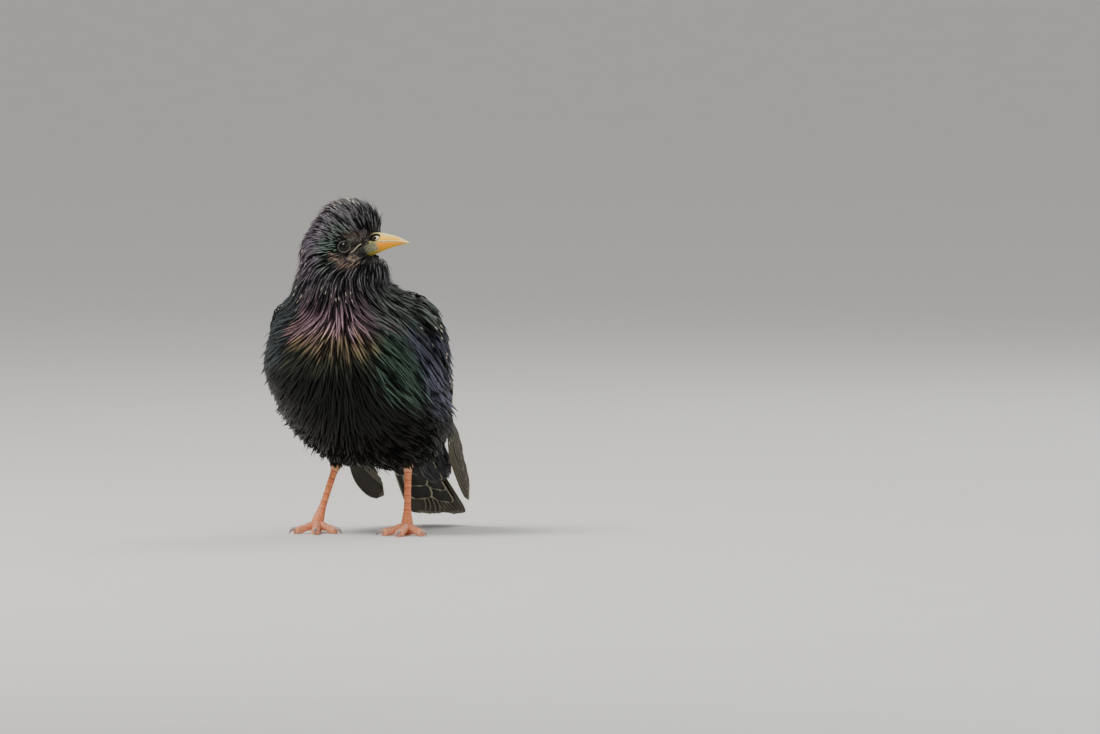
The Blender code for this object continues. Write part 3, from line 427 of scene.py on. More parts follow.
def makeSkin():
    theta = np.arange(skinParts["around"]) * 360 / skinParts["around"]
    low, high = bodyShape["tailEnd"], spineEnd - bodyShape["crownStart"]
    s = np.concatenate([np.full(9, low), np.linspace(low, high, skinParts["rings"]), np.full(40, high)])
    dip = np.concatenate([np.linspace(-86, -8, 9), np.zeros(skinParts["rings"]), np.linspace(2, 88, 40)])
    rings, normals = onSurface(s[:, None], theta, 0.0, dip=dip[:, None])
    x, y, up = np.moveaxis(toHead(rings.reshape(-1, 3)).reshape(rings.shape), 2, 0)
    face = np.exp(-((x - 7) ** 2 + y ** 2 * 0.4 + (up + 1) ** 2) / 110)
    eye = np.sqrt((x - 1.0) ** 2 + (np.abs(y) - 10.5) ** 2 + (up + 1.1) ** 2)
    under = skinParts["under"] * (1 - 0.72 * face) + 0.7 * (1 - rise(eye, 3.2, 4.4))
    under = under + 2.3 * rise(x, 5.6, 8.6) * band(up, -7.8, 4.2, 1.6) * (1 - rise(np.abs(y), 5.5, 7.5) * (up < -5))
    rings = rings - normals * under[..., None]
    rows, columns = rings.shape[:2]
    place, turn, over = unrolled(rings)
    up = bakePlace(place, turn, over)[..., 1]
    u = (np.arange(columns) / columns * 0.96 + 0.02)
    corner = gridFaces(rows, columns, True)
    uv = np.stack([np.broadcast_to(u, up.shape), up], -1).reshape(-1, 2)
    cornerUv = uv[corner.ravel()].reshape(-1, 4, 2)
    wrap = np.array([0, 1, 1, 0], bool)[None, :] & (corner[:, :1] % columns == columns - 1)
    cornerUv[..., 0] = np.where(wrap, 0.98, cornerUv[..., 0])
    count = rows * columns
    j = np.arange(columns)
    k = (j + 1) % columns
    fans = np.vstack([np.stack([k, j, np.full(columns, count)], 1),
                      np.stack([count - columns + j, count - columns + k, np.full(columns, count + 1)], 1)])
    points = np.vstack([rings.reshape(-1, 3), rings[0].mean(0), rings[-1].mean(0)])
    uv = np.vstack([uv, [[0.5, uv[:columns, 1].min() - 0.004], [0.5, uv[-columns:, 1].max() + 0.004]]])
    corners = np.vstack([cornerUv.reshape(-1, 2), uv[fans.ravel()]])
    x, y, up = toHead(points).T
    bare = (1 - rise(nearLine(x, up, bareLine), 1.0, 3.0)) * rise(np.abs(y), 3, 5) * (
        np.linalg.norm(points - headPlace, axis=1) < 18)
    return meshObject("skin", points, [corner, fans], skinMaterial, {"OFBake": corners}, {"bare": bare})


skin = makeSkin()
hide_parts("torso", "neck", "head", "thigh_left", "thigh_right")
print("skin", len(skin.data.polygons))


# The coat: which way feathers lie, and what colour they have at a place

lieOf = {"middle": 15.0, "fan": 1.15, "radiate": (10.0, 0.0, -3.0), "headReach": (17.0, 33.0)}


# Lie of the coat: away from the bill on the head, down the spine and outwards over the breast below it
def lie(points):
    s, theta, _ = unrolled(points)
    _, tangent, front, left = spineFrame(s)
    turn = np.radians(theta)[:, None]
    around = -np.sin(turn) * front + np.cos(turn) * left
    spread = lieOf["fan"] * np.sin(np.radians(np.clip(theta - lieOf["middle"], -90, 90)))
    spread *= band(s, 100, 150, 30) * (1 - 0.85 * rise(theta, 36, 74)) * (1 - 0.6 * rise(-theta, 45, 85))
    body = -tangent + around * spread[:, None]
    body /= np.linalg.norm(body, axis=1)[:, None]
    local = toHead(points) - np.array(lieOf["radiate"])
    away = (local / np.linalg.norm(local, axis=1)[:, None]) @ headAxes
    far = np.linalg.norm(points - headPlace, axis=1)
    share = (1 - rise(far, *lieOf["headReach"]))[:, None]
    return away * share + body * (1 - share)


# Paths over the form: from each root a walk along the lie, turned by a fixed angle, settled at each step
def walk(roots, lengths, turns, stations, depth=bodyDepth, flow=lie):
    points, normals = [roots], [outward(roots, depth)]
    cos, sin = np.cos(turns)[:, None], np.sin(turns)[:, None]
    for _ in range(stations - 1):
        here, normal = points[-1], normals[-1]
        way = flow(here)
        way = way - normal * (way * normal).sum(1)[:, None]
        way /= np.linalg.norm(way, axis=1)[:, None] + 1e-9
        way = way * cos + np.cross(normal, way) * sin
        step = settle(here + way * (lengths / (stations - 1))[:, None], depth, 1)
        points.append(step)
        normals.append(outward(step, depth))
    return np.stack(points, 1), np.stack(normals, 1)


palette = {  # colour of light thrown back, by place
    "black": (0.0030, 0.0030, 0.0026), "charcoal": (0.074, 0.071, 0.078), "nape": (0.095, 0.075, 0.100),
    "ear": (0.070, 0.098, 0.080), "violet": (0.170, 0.112, 0.142), "pink": (0.225, 0.130, 0.118),
    "tan": (0.165, 0.125, 0.076), "olive": (0.036, 0.040, 0.026), "green": (0.044, 0.074, 0.054),
    "blue": (0.055, 0.058, 0.084), "slate": (0.036, 0.047, 0.052), "face": (0.042, 0.037, 0.033),
    "bare": (0.150, 0.100, 0.078), "lore": (0.115, 0.102, 0.090), "throat": (0.040, 0.036, 0.042),
    "mantle": (0.066, 0.082, 0.070), "rump": (0.055, 0.055, 0.075),
}
pal = {name: np.array(rgb) for name, rgb in palette.items()}


# Colour and sheen at places on the coat: each tint is mixed in over its own patch of the body
def coatColour(points, stray):
    flat = points.reshape(-1, 3)
    s, theta, over = unrolled(flat)
    stray = np.broadcast_to(stray[:, None], points.shape[:2]).reshape(-1)
    z = flat[:, 2] + 4.0 * stray
    a = theta - 16 + 6 * stray
    inHead = toHead(flat)
    x, y, up = inHead.T
    far = np.linalg.norm(inHead, axis=1)
    colour = np.broadcast_to(pal["black"], flat.shape).copy()
    sheen = np.full(len(flat), 0.06)

    def tint(name, share, gloss=0.6):
        share = np.clip(share, 0, 1)
        colour[:] += (pal[name] - colour) * share[:, None]
        sheen[:] += (gloss - sheen) * share

    frontal = 1 - rise(np.abs(theta), 112, 134)
    tint("olive", band(z, 86, 97, 8) * band(a, -48, 34, 16) * 0.6, 0.3)
    tint("slate", band(z, 88, 120, 12) * rise(-theta, 34, 50) * frontal * 0.85)
    tint("green", band(z, 70, 101, 9) * band(a, 30, 62, 12) * frontal * 0.85)
    tint("blue", band(z, 64, 99, 8) * rise(theta, 62, 76) * frontal)
    low = 92 + 0.10 * np.abs(a)
    tint("tan", rise(z, low - 5, low) * (1 - rise(z, low + 3, low + 9)) * band(a, -46, 24, 10) * 0.9, 0.45)
    tint("pink", band(z, 101, 110, 4) * band(a, -52, 18, 14) * 0.9)
    tint("violet", band(z, 105, 120, 6) * band(a, -48, 50, 14) * 0.85)
    behind = rise(np.abs(theta), 100, 126)
    tint("mantle", behind * rise(z, 62, 76) * 0.9)
    tint("rump", behind * (1 - rise(z, 58, 74)) * 0.8)
    tint("mantle", band(theta, 58, 125, 14) * rise(z, 98, 108) * (1 - rise(z, 126, 133)) * 0.9)
    onHead = 1 - rise(far, 24, 31)
    tint("charcoal", np.maximum(rise(z, 118, 130), onHead), 0.45)
    # painted shade: the front of the neck under the head is darkened
    tint("throat", band(theta, -30, 60, 20) * band(z, 118, 140, 8) * 0.7, 0.4)
    tint("ear", onHead * band(x, -13, -4, 4) * band(up, -9, 3, 4) * rise(np.abs(y), 6, 9) * 0.9)
    tint("ear", onHead * band(x, -4, 4, 3) * band(up, 6, 9, 3) * rise(np.abs(y), 6, 9) * 0.6)
    tint("nape", np.maximum(onHead * (1 - rise(x, -20, -13)), band(far, 20, 30, 5) * rise(-theta, 10, 40)) * 0.7)
    tint("face", 1 - rise(np.hypot(x - 5.5, up + 1.0) + 0.3 * stray, 4.5, 9), 0.2)
    # painted shade: the chin under the bill is darkened to the face colour
    tint("face", (1 - rise(far, 15, 19)) * (1 - rise(up, -7, -4)) * rise(x, 2, 5) * 0.7, 0.2)
    tint("lore", band(x + 0.8 * stray, 5.0, 12.5, 1.2) * band(up + 0.6 * stray, 0.8, 3.6, 0.9) * 0.85, 0.1)
    skinny = rise(np.abs(y), 3, 5) * onHead
    tint("bare", (1 - rise(nearLine(x, up, bareLine) + 0.9 * stray, 0.7, 2.0)) * skinny * 0.75, 0.1)
    tint("bare", (1 - rise(nearLine(x, up, [(3, 4.6), (11, 5.0)]) + 0.9 * stray, 0.2, 1.2)) * skinny * 0.6, 0.1)
    return colour.reshape(points.shape), sheen.reshape(points.shape[:2])


# Plumes: four points round each station of a path, wide in the middle and drawn to a point. Those
# that share a clump bend towards its middle plume: path += (guide - path) pull t^1.5
def plumes(name, path, normal, high, width, spec, material, chance, spots=None, colours=None):
    count, stations = path.shape[:2]
    t = np.linspace(0, 1, stations)
    vary = chance.uniform(-1, 1, (3, count))
    shared = vary[0]
    if "clump" in spec:
        members, pull = spec["clump"]
        guides = np.sort(chance.permutation(count)[:max(1, round(count / members))])
        mid, at = path[guides, 0], path[:, 0]
        near = np.argmin((mid**2).sum(1) - 2 * at @ mid.T, axis=1)
        path = path + (path[guides][near] - path) * (pull * t**1.5)[None, :, None]
        shared = shared[guides][near]
    sparse = spec.get("sparse", 0.0)
    upper = rise(vary[2], sparse - 0.35, sparse + 0.25)
    high = high + (spec.get("layer", 0.35) * (2 * upper - 1))[:, None] * t
    path = path + normal * high[..., None]
    way = np.gradient(path, axis=1)
    side = np.cross(normal, way)
    side /= np.linalg.norm(side, axis=2)[..., None] + 1e-9
    half = width[:, None] / 2 * np.interp(t, *spec["shape"])
    dome = np.interp(t, [0, 0.5, 1], [0.10, 0.17, 0.06]) * width[:, None] * spec.get("dome", 1.0)
    half, dome = half[..., None], dome[..., None]
    ring = np.stack([path - side * half, path + normal * dome, path + side * half, path - normal * dome * 0.5], 2)
    one = np.vstack([gridFaces(stations, 4, True)[:, ::-1], [[0, 1, 2, 3]],
                     (stations - 1) * 4 + np.array([[3, 2, 1, 0]])])
    faces = (np.arange(count)[:, None, None] * stations * 4 + one).reshape(-1, 4)
    colour, sheen = coatColour(path, vary[1]) if colours is None else colours
    # painted shade: plumes of the under layer take the low tone and are painted far darker than the upper layer, as
    # their shadow; each plume is also darker to its root and a little brighter to its tip, and clumps vary in tone at
    # random
    low, top = spec.get("layerShadeTones", (0.22, 1.9))
    tone = ((low + (top - low) * upper) * (1 + 0.30 * shared))[:, None] * (
        0.25 + 0.75 * rise(t, 0.15, 0.6) + 0.20 * rise(t, 0.7, 0.95))
    colour = colour * tone[..., None]
    each = (count, stations, 4)
    vane = np.stack([np.broadcast_to(np.array([0.0, 0.5, 1.0, 0.5]), each),
                     np.broadcast_to(t[None, :, None], each)], -1)
    patch = bakePlace(*unrolled(path[:, 0]))[:, None, None, :] + (vane - 0.5) * 0.003
    dots = np.zeros(count) if spots is None else spots
    values = {"plume": np.repeat(colour.reshape(-1, 3), 4, axis=0), "sheen": np.repeat(sheen.ravel(), 4),
              "spot": np.repeat(dots, stations * 4).astype(float)}
    made = meshObject(name, ring.reshape(-1, 3), [faces], material,
                      {"OFBake": patch.reshape(-1, 2), "vane": vane.reshape(-1, 2)}, values)
    print(name, count, "feathers", len(faces) * 2, "triangles")
    return made


# Lances: plumes that walk along the lie; each starts "deep" under the form, floats, and lifts to its tip
def lances(name, roots, spec, material, chance, spots=None, stations=6, depth=bodyDepth, flow=lie, colours=None):
    vary = chance.uniform(-1, 1, (4, len(roots)))
    length = spec["length"] * (1 + 0.16 * vary[0])
    width = spec["width"] * (1 + 0.18 * vary[1])
    lift = spec["lift"] * (1 + 0.40 * vary[2] + 1.3 * rise(vary[2], 0.78, 1.0))
    path, normal = walk(roots, length, vary[3] * spec["stray"], stations, depth, flow)
    t = np.linspace(0, 1, stations)
    deep, float_ = (np.reshape(spec[key], (-1, 1)) for key in ("deep", "float"))
    high = -deep + (deep - float_) * rise(t, 0, 0.3) + lift[:, None] * t ** spec["bend"]
    if colours is not None:
        tints, gloss = colours
        colours = (np.repeat(tints[:, None], stations, axis=1), np.full((len(roots), stations), gloss))
    return plumes(name, path, normal, high, width, spec, material, chance, spots, colours)


# Roots over the body: rows along the spine, a fixed distance apart round each, every other row shifted
def bodyRoots(sRange, thetaRange, apart, chance):
    rows = np.arange(sRange[0], sRange[1], apart * 0.9)
    turn = np.linspace(thetaRange[0], thetaRange[1], 181)
    rings = onSurface(rows[:, None], turn)[0]
    steps = np.concatenate([np.zeros((len(rows), 1)),
                            np.cumsum(np.linalg.norm(np.diff(rings, axis=1), axis=2), axis=1)], 1)
    found = []
    for k in range(len(rows)):
        places = np.arange(apart * (0.25 + 0.5 * (k % 2)), steps[k, -1], apart)
        places = places + chance.uniform(-0.3, 0.3, len(places)) * apart
        found.append(np.stack([np.full(len(places), rows[k]), np.interp(places, steps[k], turn)], 1))
    found = np.vstack(found)
    found[:, 0] += chance.uniform(-0.35, 0.35, len(found)) * apart
    return onSurface(found[:, 0], found[:, 1])[0], found[:, 0], found[:, 1]


# Roots over the head: a spiral of directions from inside it, each carried out to the form
def headRoots(count, chance, centre=(-3.0, 0.0, 2.0)):
    k = np.arange(count) + 0.5
    up = 1 - 2 * k / count
    turn = k * math.pi * (3 - math.sqrt(5))
    flat = np.sqrt(1 - up**2)
    ways = np.stack([flat * np.cos(turn), flat * np.sin(turn), up], 1) + chance.normal(0, 0.012, (count, 3))
    ways /= np.linalg.norm(ways, axis=1)[:, None]
    ways = ways @ headAxes
    start = fromHead([centre])
    reach = np.zeros(count)
    for _ in range(60):
        reach += -bodyDepth(start + ways * reach[:, None]) * 0.9
    return start + ways * reach[:, None]


eyeParts = {"radius": 3.1, "place": (0.7, 9.2, -1.1), "facing": (0.24, 0.96, 0.06), "lid": 2.75,
            "lidThick": 0.55}
lance = ([0, 0.2, 0.5, 0.8, 1.0], [0.55, 0.9, 1.0, 0.62, 0.05])
blade = ([0, 0.2, 0.55, 0.82, 0.94, 1.0], [0.5, 0.9, 1.0, 0.85, 0.5, 0.08])
strand = ([0, 0.3, 0.7, 1.0], [0.8, 1.0, 0.7, 0.08])
# where the feathers stop at the bill: forward reach at heights in the head's axes
billEdge = ([-12, -8.8, -7.8, -6.5, -4.5, -1.8, -0.5, 1.5, 4.2, 5.2, 7],
            [30, 30, 12, 7.8, 6.8, 6.6, 8.0, 9.4, 12.6, 17.0, 20])


def nearFace(points):  # distances from the nearer eye and from the edge at the bill
    p = toHead(points)
    eye = np.linalg.norm(np.abs(p) * (0, 1, 0) + p * (1, 0, 1) - np.array(eyeParts["place"]), axis=1)
    edge = np.interp(p[:, 2], *billEdge) - p[:, 0]
    beside = 4 * np.maximum(np.abs(p[:, 1]) - 5.2, 0) * (1 - rise(p[:, 2], -7, -5))
    return eye, np.where(p[:, 2] < -12, 99, edge + beside), p


def makeHeadCoat():
    chance = np.random.default_rng(3)
    roots = headRoots(6600, chance)
    eye, edge, p = nearFace(roots)
    keep = (eye > 4.15) & (edge > 0.35) & (np.linalg.norm(roots - headPlace, axis=1) < 27)
    gape = nearLine(p[:, 0], p[:, 2], [(2.5, -4.9), (5.2, -3.9), (7.8, -1.9)])
    skinny = 1 - rise(nearLine(p[:, 0], p[:, 2], bareLine), 1.0, 2.6)
    keep &= (gape > 0.9) & (chance.random(len(roots)) > 0.70 * skinny * (np.abs(p[:, 1]) > 4))
    roots, eye, edge, p = roots[keep], eye[keep], edge[keep], p[keep]
    bill = np.linalg.norm((p - np.array([10.5, 0, -1])) / np.array([1, 0.85, 1]), axis=1)
    size = rise(np.minimum(bill - 3.5, (eye - 2.0) * 1.3), 1.0, 13)
    chin = rise(-p[:, 2], 8.2, 11.5) * rise(p[:, 0], -4, 4)
    size = np.maximum(size, 0.85 * chin)
    spotted = rise(p[:, 2], 9, 15) * 0.24 + band(p[:, 0], -19, -12, 2) * band(p[:, 2], -9, 3, 3) * 0.10 + (
        band(p[:, 2], -19, -13, 1.5) * band(p[:, 0], -10, 4, 3) * (p[:, 1] < 0) * 0.28)
    spots = chance.random(len(roots)) < spotted
    crown = rise(p[:, 2], 2, 12)
    brow = band(p[:, 2], 5.5, 12, 2.5) * rise(p[:, 0], 4, 11)
    for name, part in (("Right", p[:, 1] < 0), ("Left", p[:, 1] >= 0)):
        few = size[part]
        spec = {"length": 1.7 + 9.0 * few + 1.2 * brow[part], "width": 0.44 + 0.56 * few,
                "lift": 0.15 + 0.9 * few + 0.9 * chin[part] + 1.1 * brow[part], "stray": 0.08, "layerShadeTones": (0.08, 2.5), "sparse": 0.15, "deep": 0.5 + 1.5 * few, "float": 0.30 + 0.85 * few + 0.35 * crown[part],
                "bend": 1.5, "shape": lance, "clump": (3, 0.35), "layer": 0.15 + 0.15 * few}
        lances("headFeathers" + name, roots[part], spec, coatMaterial, chance, spots[part], 5)
    roots = headRoots(15000, chance)
    eye, edge, p = nearFace(roots)
    near = band(p[:, 0], 4.6, 12.5, 0.5) * band(p[:, 2], -1.6 - 0.3 * (p[:, 0] < 8), 4.8, 0.5) > 0.5
    for name, mirror in (("Right", -1), ("Left", 1)):
        part = near & (eye > 4.0) & (p[:, 1] * mirror > 2.5)
        spec = {"length": 2.3 + 0 * eye[part], "width": 0.30, "lift": 0.30, "stray": 0.5, "layerShadeTones": (0.10, 2.6),
                "deep": 0.4, "float": 0.05, "bend": 1.3, "shape": strand}
        lances("loreBristles" + name, roots[part], spec, coatMaterial, chance, None, 4)
    roots = headRoots(6600, chance)
    far = np.linalg.norm(roots - headPlace, axis=1)
    roots = roots[(far > 26) & (far < 33) & (toHead(roots)[:, 0] < -6)]
    spec = {"length": 10.5 + 0 * roots[:, 0], "width": 1.0, "lift": 1.0, "stray": 0.08, "layerShadeTones": (0.08, 2.5),
            "sparse": 0.15, "deep": 2.0, "float": 1.2, "bend": 1.5, "shape": lance, "clump": (3, 0.35)}
    lances("napeFeathers", roots, spec, coatMaterial, chance, None, 5)


def makeNeckCoat():
    chance = np.random.default_rng(4)
    roots, s, theta = bodyRoots((136, 172), (-180, 180), 1.75, chance)
    eye, edge, p = nearFace(roots)
    far = np.linalg.norm(roots - headPlace, axis=1)
    keep = (far > 21.5) & (edge > 3) & (eye > 9)
    roots, s, theta, full = roots[keep], s[keep], theta[keep], rise(far[keep], 21, 29)
    line = band(roots[:, 2], 128, 135, 2.5) * band(theta, -55, 0, 8)
    spots = chance.random(len(roots)) < line * 0.20 + 0.05 * (np.abs(theta) > 100)
    frontal = 1 - rise(np.abs(theta - 16), 70, 110)
    beard = band(theta, 25, 100, 15) * rise(roots[:, 2], 124, 134)
    spec = {"length": (11.5 + 6.5 * frontal - 4.0 * beard) * (0.65 + 0.35 * full),
            "width": 1.25 + 0.25 * frontal, "lift": (1.0 + 0.4 * frontal + 1.2 * beard) * (0.5 + 0.5 * full), "stray": 0.06,
            "deep": 2.0, "float": 0.3 + 0.7 * full, "bend": 1.6, "shape": lance, "clump": (4, 0.45)}
    lances("neckHackles", roots, spec, coatMaterial, chance, spots, 7)


def makeBreastCoat():
    chance = np.random.default_rng(5)
    roots, s, theta = bodyRoots((110, 141), (-110, 110), 2.05, chance)
    spec = {"length": np.full(len(roots), 19.0), "width": 1.5 + 0.3 * rise(theta, 30, 60), "layerShadeTones": (0.12, 2.2), "sparse": 0.2,
            "lift": np.full(len(roots), 1.6), "stray": 0.06, "deep": 2.0, "float": 1.0, "bend": 1.6,
            "shape": lance, "clump": (4, 0.5)}
    spots = chance.random(len(roots)) < band(theta, 46, 74, 8) * band(roots[:, 2], 110, 128, 5) * 0.22
    lances("breastHackles", roots, spec, coatMaterial, chance, spots, 7)


def makeFlankCoat():
    chance = np.random.default_rng(6)
    roots, s, theta = bodyRoots((56, 116), (-104, 104), 2.35, chance)
    side = rise(np.abs(theta - 5), 38, 58)
    spec = {"length": 13.5 + 2 * side, "width": 1.75 + 0 * side, "layerShadeTones": (0.08, 2.5), "sparse": 0.3,
            "lift": (1.1 + 0.5 * side) * (0.3 + 0.7 * rise(s, 60, 74)) + 1.6 * rise(-theta, 48, 66) * band(roots[:, 2], 60, 84, 6),
            "stray": 0.07, "deep": 2.0, "float": 1.2, "bend": 1.5, "shape": lance, "clump": (3, 0.4)}
    spots = chance.random(len(roots)) < 0.6 * (1 - rise(s, 68, 76)) * rise(theta, 10, 30)
    lances("flankFeathers", roots, spec, coatMaterial, chance, spots, 6)


def makeBellyHair():
    chance = np.random.default_rng(7)
    roots, s, theta = bodyRoots((58, 112), (-92, 88), 1.65, chance)
    keep = np.abs(theta - 2) < 58 + 40 * (1 - rise(roots[:, 2], 58, 72))
    roots, theta = roots[keep], theta[keep]
    for name, part in (("Right", theta < 5), ("Left", theta >= 5)):
        spec = {"length": np.full(part.sum(), 12.5), "width": np.full(part.sum(), 0.70),
                "lift": np.full(part.sum(), 1.7), "stray": 0.16, "deep": 1.6, "float": 0.9, "bend": 1.4,
                "shape": strand, "clump": (6, 0.6)}
        lances("bellyHair" + name, roots[part], spec, hairMaterial, chance, None, 5)


# Feathers of the left side that lie over the wing's front edge, and the same fewer on the right
def makeSideCoat():
    chance = np.random.default_rng(9)
    for name, mirror, heavy in (("Left", 1, 1.0), ("Right", -1, 0.8)):
        roots, s, theta = bodyRoots((84, 132), tuple(sorted((62 * mirror, 88 * mirror))), 1.85, chance)
        over = rise(np.abs(theta), 62, 84)
        spec = {"length": 14.0 + 2 * over, "width": 1.8 + 0 * over, "layerShadeTones": (0.08, 2.6), "sparse": 0.3, "lift": heavy * (1.1 + 0.9 * over),
                "stray": 0.06, "deep": 1.8, "float": 0.8 - 1.4 * over, "bend": 1.2, "shape": lance,
                "clump": (3, 0.4)}
        spots = chance.random(len(roots)) < 0.5 * band(theta, 58, 84, 8) * band(roots[:, 2], 106, 130, 5)
        lances("sideFeathers" + name, roots, spec, coatMaterial, chance, spots, 7)
        roots, s, theta = bodyRoots((110, 147), tuple(sorted((82 * mirror, 156 * mirror))), 2.7, chance)
        keep = s > 110 + 5 * rise(np.abs(theta), 112, 130)
        roots, s, theta = roots[keep], s[keep], theta[keep]
        edge = rise(np.abs(theta), 84, 96)
        spec = {"length": 12.5 + 0 * s, "width": 2.5 + 0 * s, "lift": 0.7 + 0.3 * edge, "stray": 0.07,
                "deep": 1.5 - 2.6 * edge, "float": 0.5 - 3.3 * edge, "bend": 1.4, "shape": lance, "clump": (3, 0.3)}
        spots = chance.random(len(roots)) < 0.26
        lances("shoulderFeathers" + name, roots, spec, coatMaterial, chance, spots, 7)


def makeBackCoat():
    chance = np.random.default_rng(8)
    roots, s, theta = bodyRoots((44, 146), (92, 268), 2.9, chance)
    spots = chance.random(len(roots)) < 0.32 * rise(s, 60, 80)
    whole = np.ones(len(roots))
    flat = rise(s, 54, 72)
    spec = {"length": 9.5 + 2 * flat, "width": 3.0 * whole, "lift": 0.3 + flat, "stray": 0.10, "deep": 2.0,
            "float": 1.3 - 0.3 * flat, "bend": 1.6, "shape": blade, "dome": 0.6, "clump": (3, 0.25)}
    lances("mantleFeathers", roots, spec, coatMaterial, chance, spots, 6)
    roots, s, theta = bodyRoots((33, 60), (52, 308), 2.0, chance)
    spec = {"length": 11.5 + 0 * s, "width": 2.3, "lift": 0.3, "stray": 0.10, "deep": 1.2, "float": 0.5,
            "bend": 1.4, "shape": blade, "dome": 0.6, "clump": (3, 0.25)}
    tints = np.array([0.020, 0.020, 0.023]) + 0 * roots
    lances("rumpFeathers", roots, spec, coatMaterial, chance, None, 6, colours=(tints, 0.06))


for makeCoat in (makeHeadCoat, makeNeckCoat, makeBreastCoat, makeFlankCoat, makeBellyHair, makeSideCoat,
                 makeBackCoat):
    makeCoat()


# Wings and tail: vanes laid over a sheet of the form

# A patch of a form laid out by distance s along the spine and c round it from a middle line
def sheetOver(depth, sRange, thetaRange, middle, mirror=1.0):
    rows, turn = np.linspace(*sRange, 40), np.linspace(*thetaRange, 60)
    rings = onSurface(rows[:, None], mirror * turn, 0.0, depth)[0]
    steps = np.linalg.norm(np.diff(rings, axis=1), axis=2)
    across = np.concatenate([np.zeros((len(rows), 1)), np.cumsum(steps, axis=1)], 1)
    places = np.linspace(-45, 45, 181)
    table = np.stack([np.interp(places + np.interp(np.interp(s, *middle), turn, row), row, turn)
                      for s, row in zip(rows, across)])

    def place(s, c, height):
        s, c, height = np.broadcast_arrays(s, c, height)
        i = np.clip((s - rows[0]) / (rows[1] - rows[0]), 0, len(rows) - 1.001)
        j = np.clip((c - places[0]) / (places[1] - places[0]), 0, len(places) - 1.001)
        a, b = i.astype(int), j.astype(int)
        f, g = i - a, j - b
        theta = ((table[a, b] * (1 - f) + table[a + 1, b] * f) * (1 - g)
                 + (table[a, b + 1] * (1 - f) + table[a + 1, b + 1] * f) * g)
        return onSurface(s, mirror * theta, height, depth)[0]
    return place


# Vane: a thin closed blade round its shaft, wide from a third of its length, with a rounded end.
# Half width = W/2 * root * sqrt(1 - ((t - t0)/(1 - t0))^k); each edge sinks a little under its neighbour
def vanes(name, place, rows, material, colours, spots, pale=0.0, stations=18, columns=9, uvStart=0,
          bake=None):
    s0, s1, c0, c1, width, h0, h1, blunt, bend, ratio = (np.asarray(v, float)[:, None, None] for v in rows)
    count = len(s0)
    t = (1 - np.cos(np.linspace(0, 1, stations) * math.pi / 2 * 1.0)) * 0.0 + np.linspace(0, 1, stations) ** 0.85
    t = t[None, :, None]
    u = np.linspace(-1, 1, columns)[None, None, :]
    end = np.clip((t - blunt) / (1 - blunt), 0, 1)
    half = width / 2 * (0.55 + 0.45 * rise(t, 0, 0.35)) * np.sqrt(np.clip(1 - end ** 2.4, 0.0012, 1))
    s = s0 + (s1 - s0) * t
    wide = np.where(u < 0, u * (2 - 2 * ratio), u * 2 * ratio)
    c = c0 + (c1 - c0) * t + bend * t * (1 - t) * 4 + half * wide
    lift = h0 + (h1 - h0) * t - 0.22 * u * u + 0.10 * np.exp(-(u / 0.14) ** 2) * (1 - 0.6 * t) - 0.16 * u
    thick = 0.16 + 0.10 * np.exp(-(u / 0.2) ** 2)
    s, c, lift, thick = np.broadcast_arrays(s, c, lift, thick)
    outer, inner = place(s, c, lift), place(s, c, lift - thick)
    n = stations * columns
    points = np.concatenate([outer.reshape(count, n, 3), inner.reshape(count, n, 3)], 1).reshape(-1, 3)
    face = gridFaces(stations, columns)
    rim = ([(0, j) for j in range(columns)] + [(i, columns - 1) for i in range(1, stations)]
           + [(stations - 1, j) for j in range(columns - 2, -1, -1)] + [(i, 0) for i in range(stations - 2, 0, -1)])
    ids = np.array([i * columns + j for i, j in rim])
    after = np.roll(ids, -1)
    wall = np.stack([after, ids, ids + n, after + n], 1)
    one = np.vstack([face, face[:, ::-1] + n, wall])
    faces = (np.arange(count)[:, None, None] * 2 * n + one).reshape(-1, 4)
    across = np.broadcast_to((u + 1) / 2, (count, stations, columns))
    up = np.broadcast_to(t, (count, stations, columns))
    vane = np.stack([across, up], -1).reshape(count, n, 2)
    vane = np.concatenate([vane, vane], 1)
    side = math.ceil(math.sqrt(count * 2))
    cell = np.arange(count * 2).reshape(count, 2)
    corner = np.stack([cell % side, cell // side], -1)[:, :, None, :] / side
    half = np.stack([vane[:, :n], vane[:, n:]], 1) * 0.86 / side + 0.07 / side
    baked = (corner + half).reshape(-1, 2)
    tone = np.repeat(colours, 2 * n, axis=0)
    values = {"plume": tone, "sheen": np.repeat(np.full(count, 0.12), 2 * n), "spot": np.repeat(spots, 2 * n)}
    ends = np.stack([ids, after], 1)
    sharp = (np.arange(count)[:, None, None] * 2 * n + np.vstack([ends, ends + n])).reshape(-1, 2)
    made = meshObject(name, points, [faces], material, {"OFBake": baked, "vane": vane.reshape(-1, 2)},
                      values, sharp)
    print(name, count, "vanes", len(faces) * 2, "triangles")
    return made


# Slab: two grids of points closed round their rim
def slab(name, outer, inner, material, values=None):
    rows, columns = outer.shape[:2]
    n = rows * columns
    face = gridFaces(rows, columns)
    rim = ([(0, j) for j in range(columns)] + [(i, columns - 1) for i in range(1, rows)]
           + [(rows - 1, j) for j in range(columns - 2, -1, -1)] + [(i, 0) for i in range(rows - 2, 0, -1)])
    ids = np.array([i * columns + j for i, j in rim])
    after = np.roll(ids, -1)
    faces = np.vstack([face, face[:, ::-1] + n, np.stack([after, ids, ids + n, after + n], 1)])
    return meshObject(name, np.vstack([outer.reshape(-1, 3), inner.reshape(-1, 3)]), [faces], material,
                      values={k: np.tile(v.ravel(), 2) for k, v in (values or {}).items()})


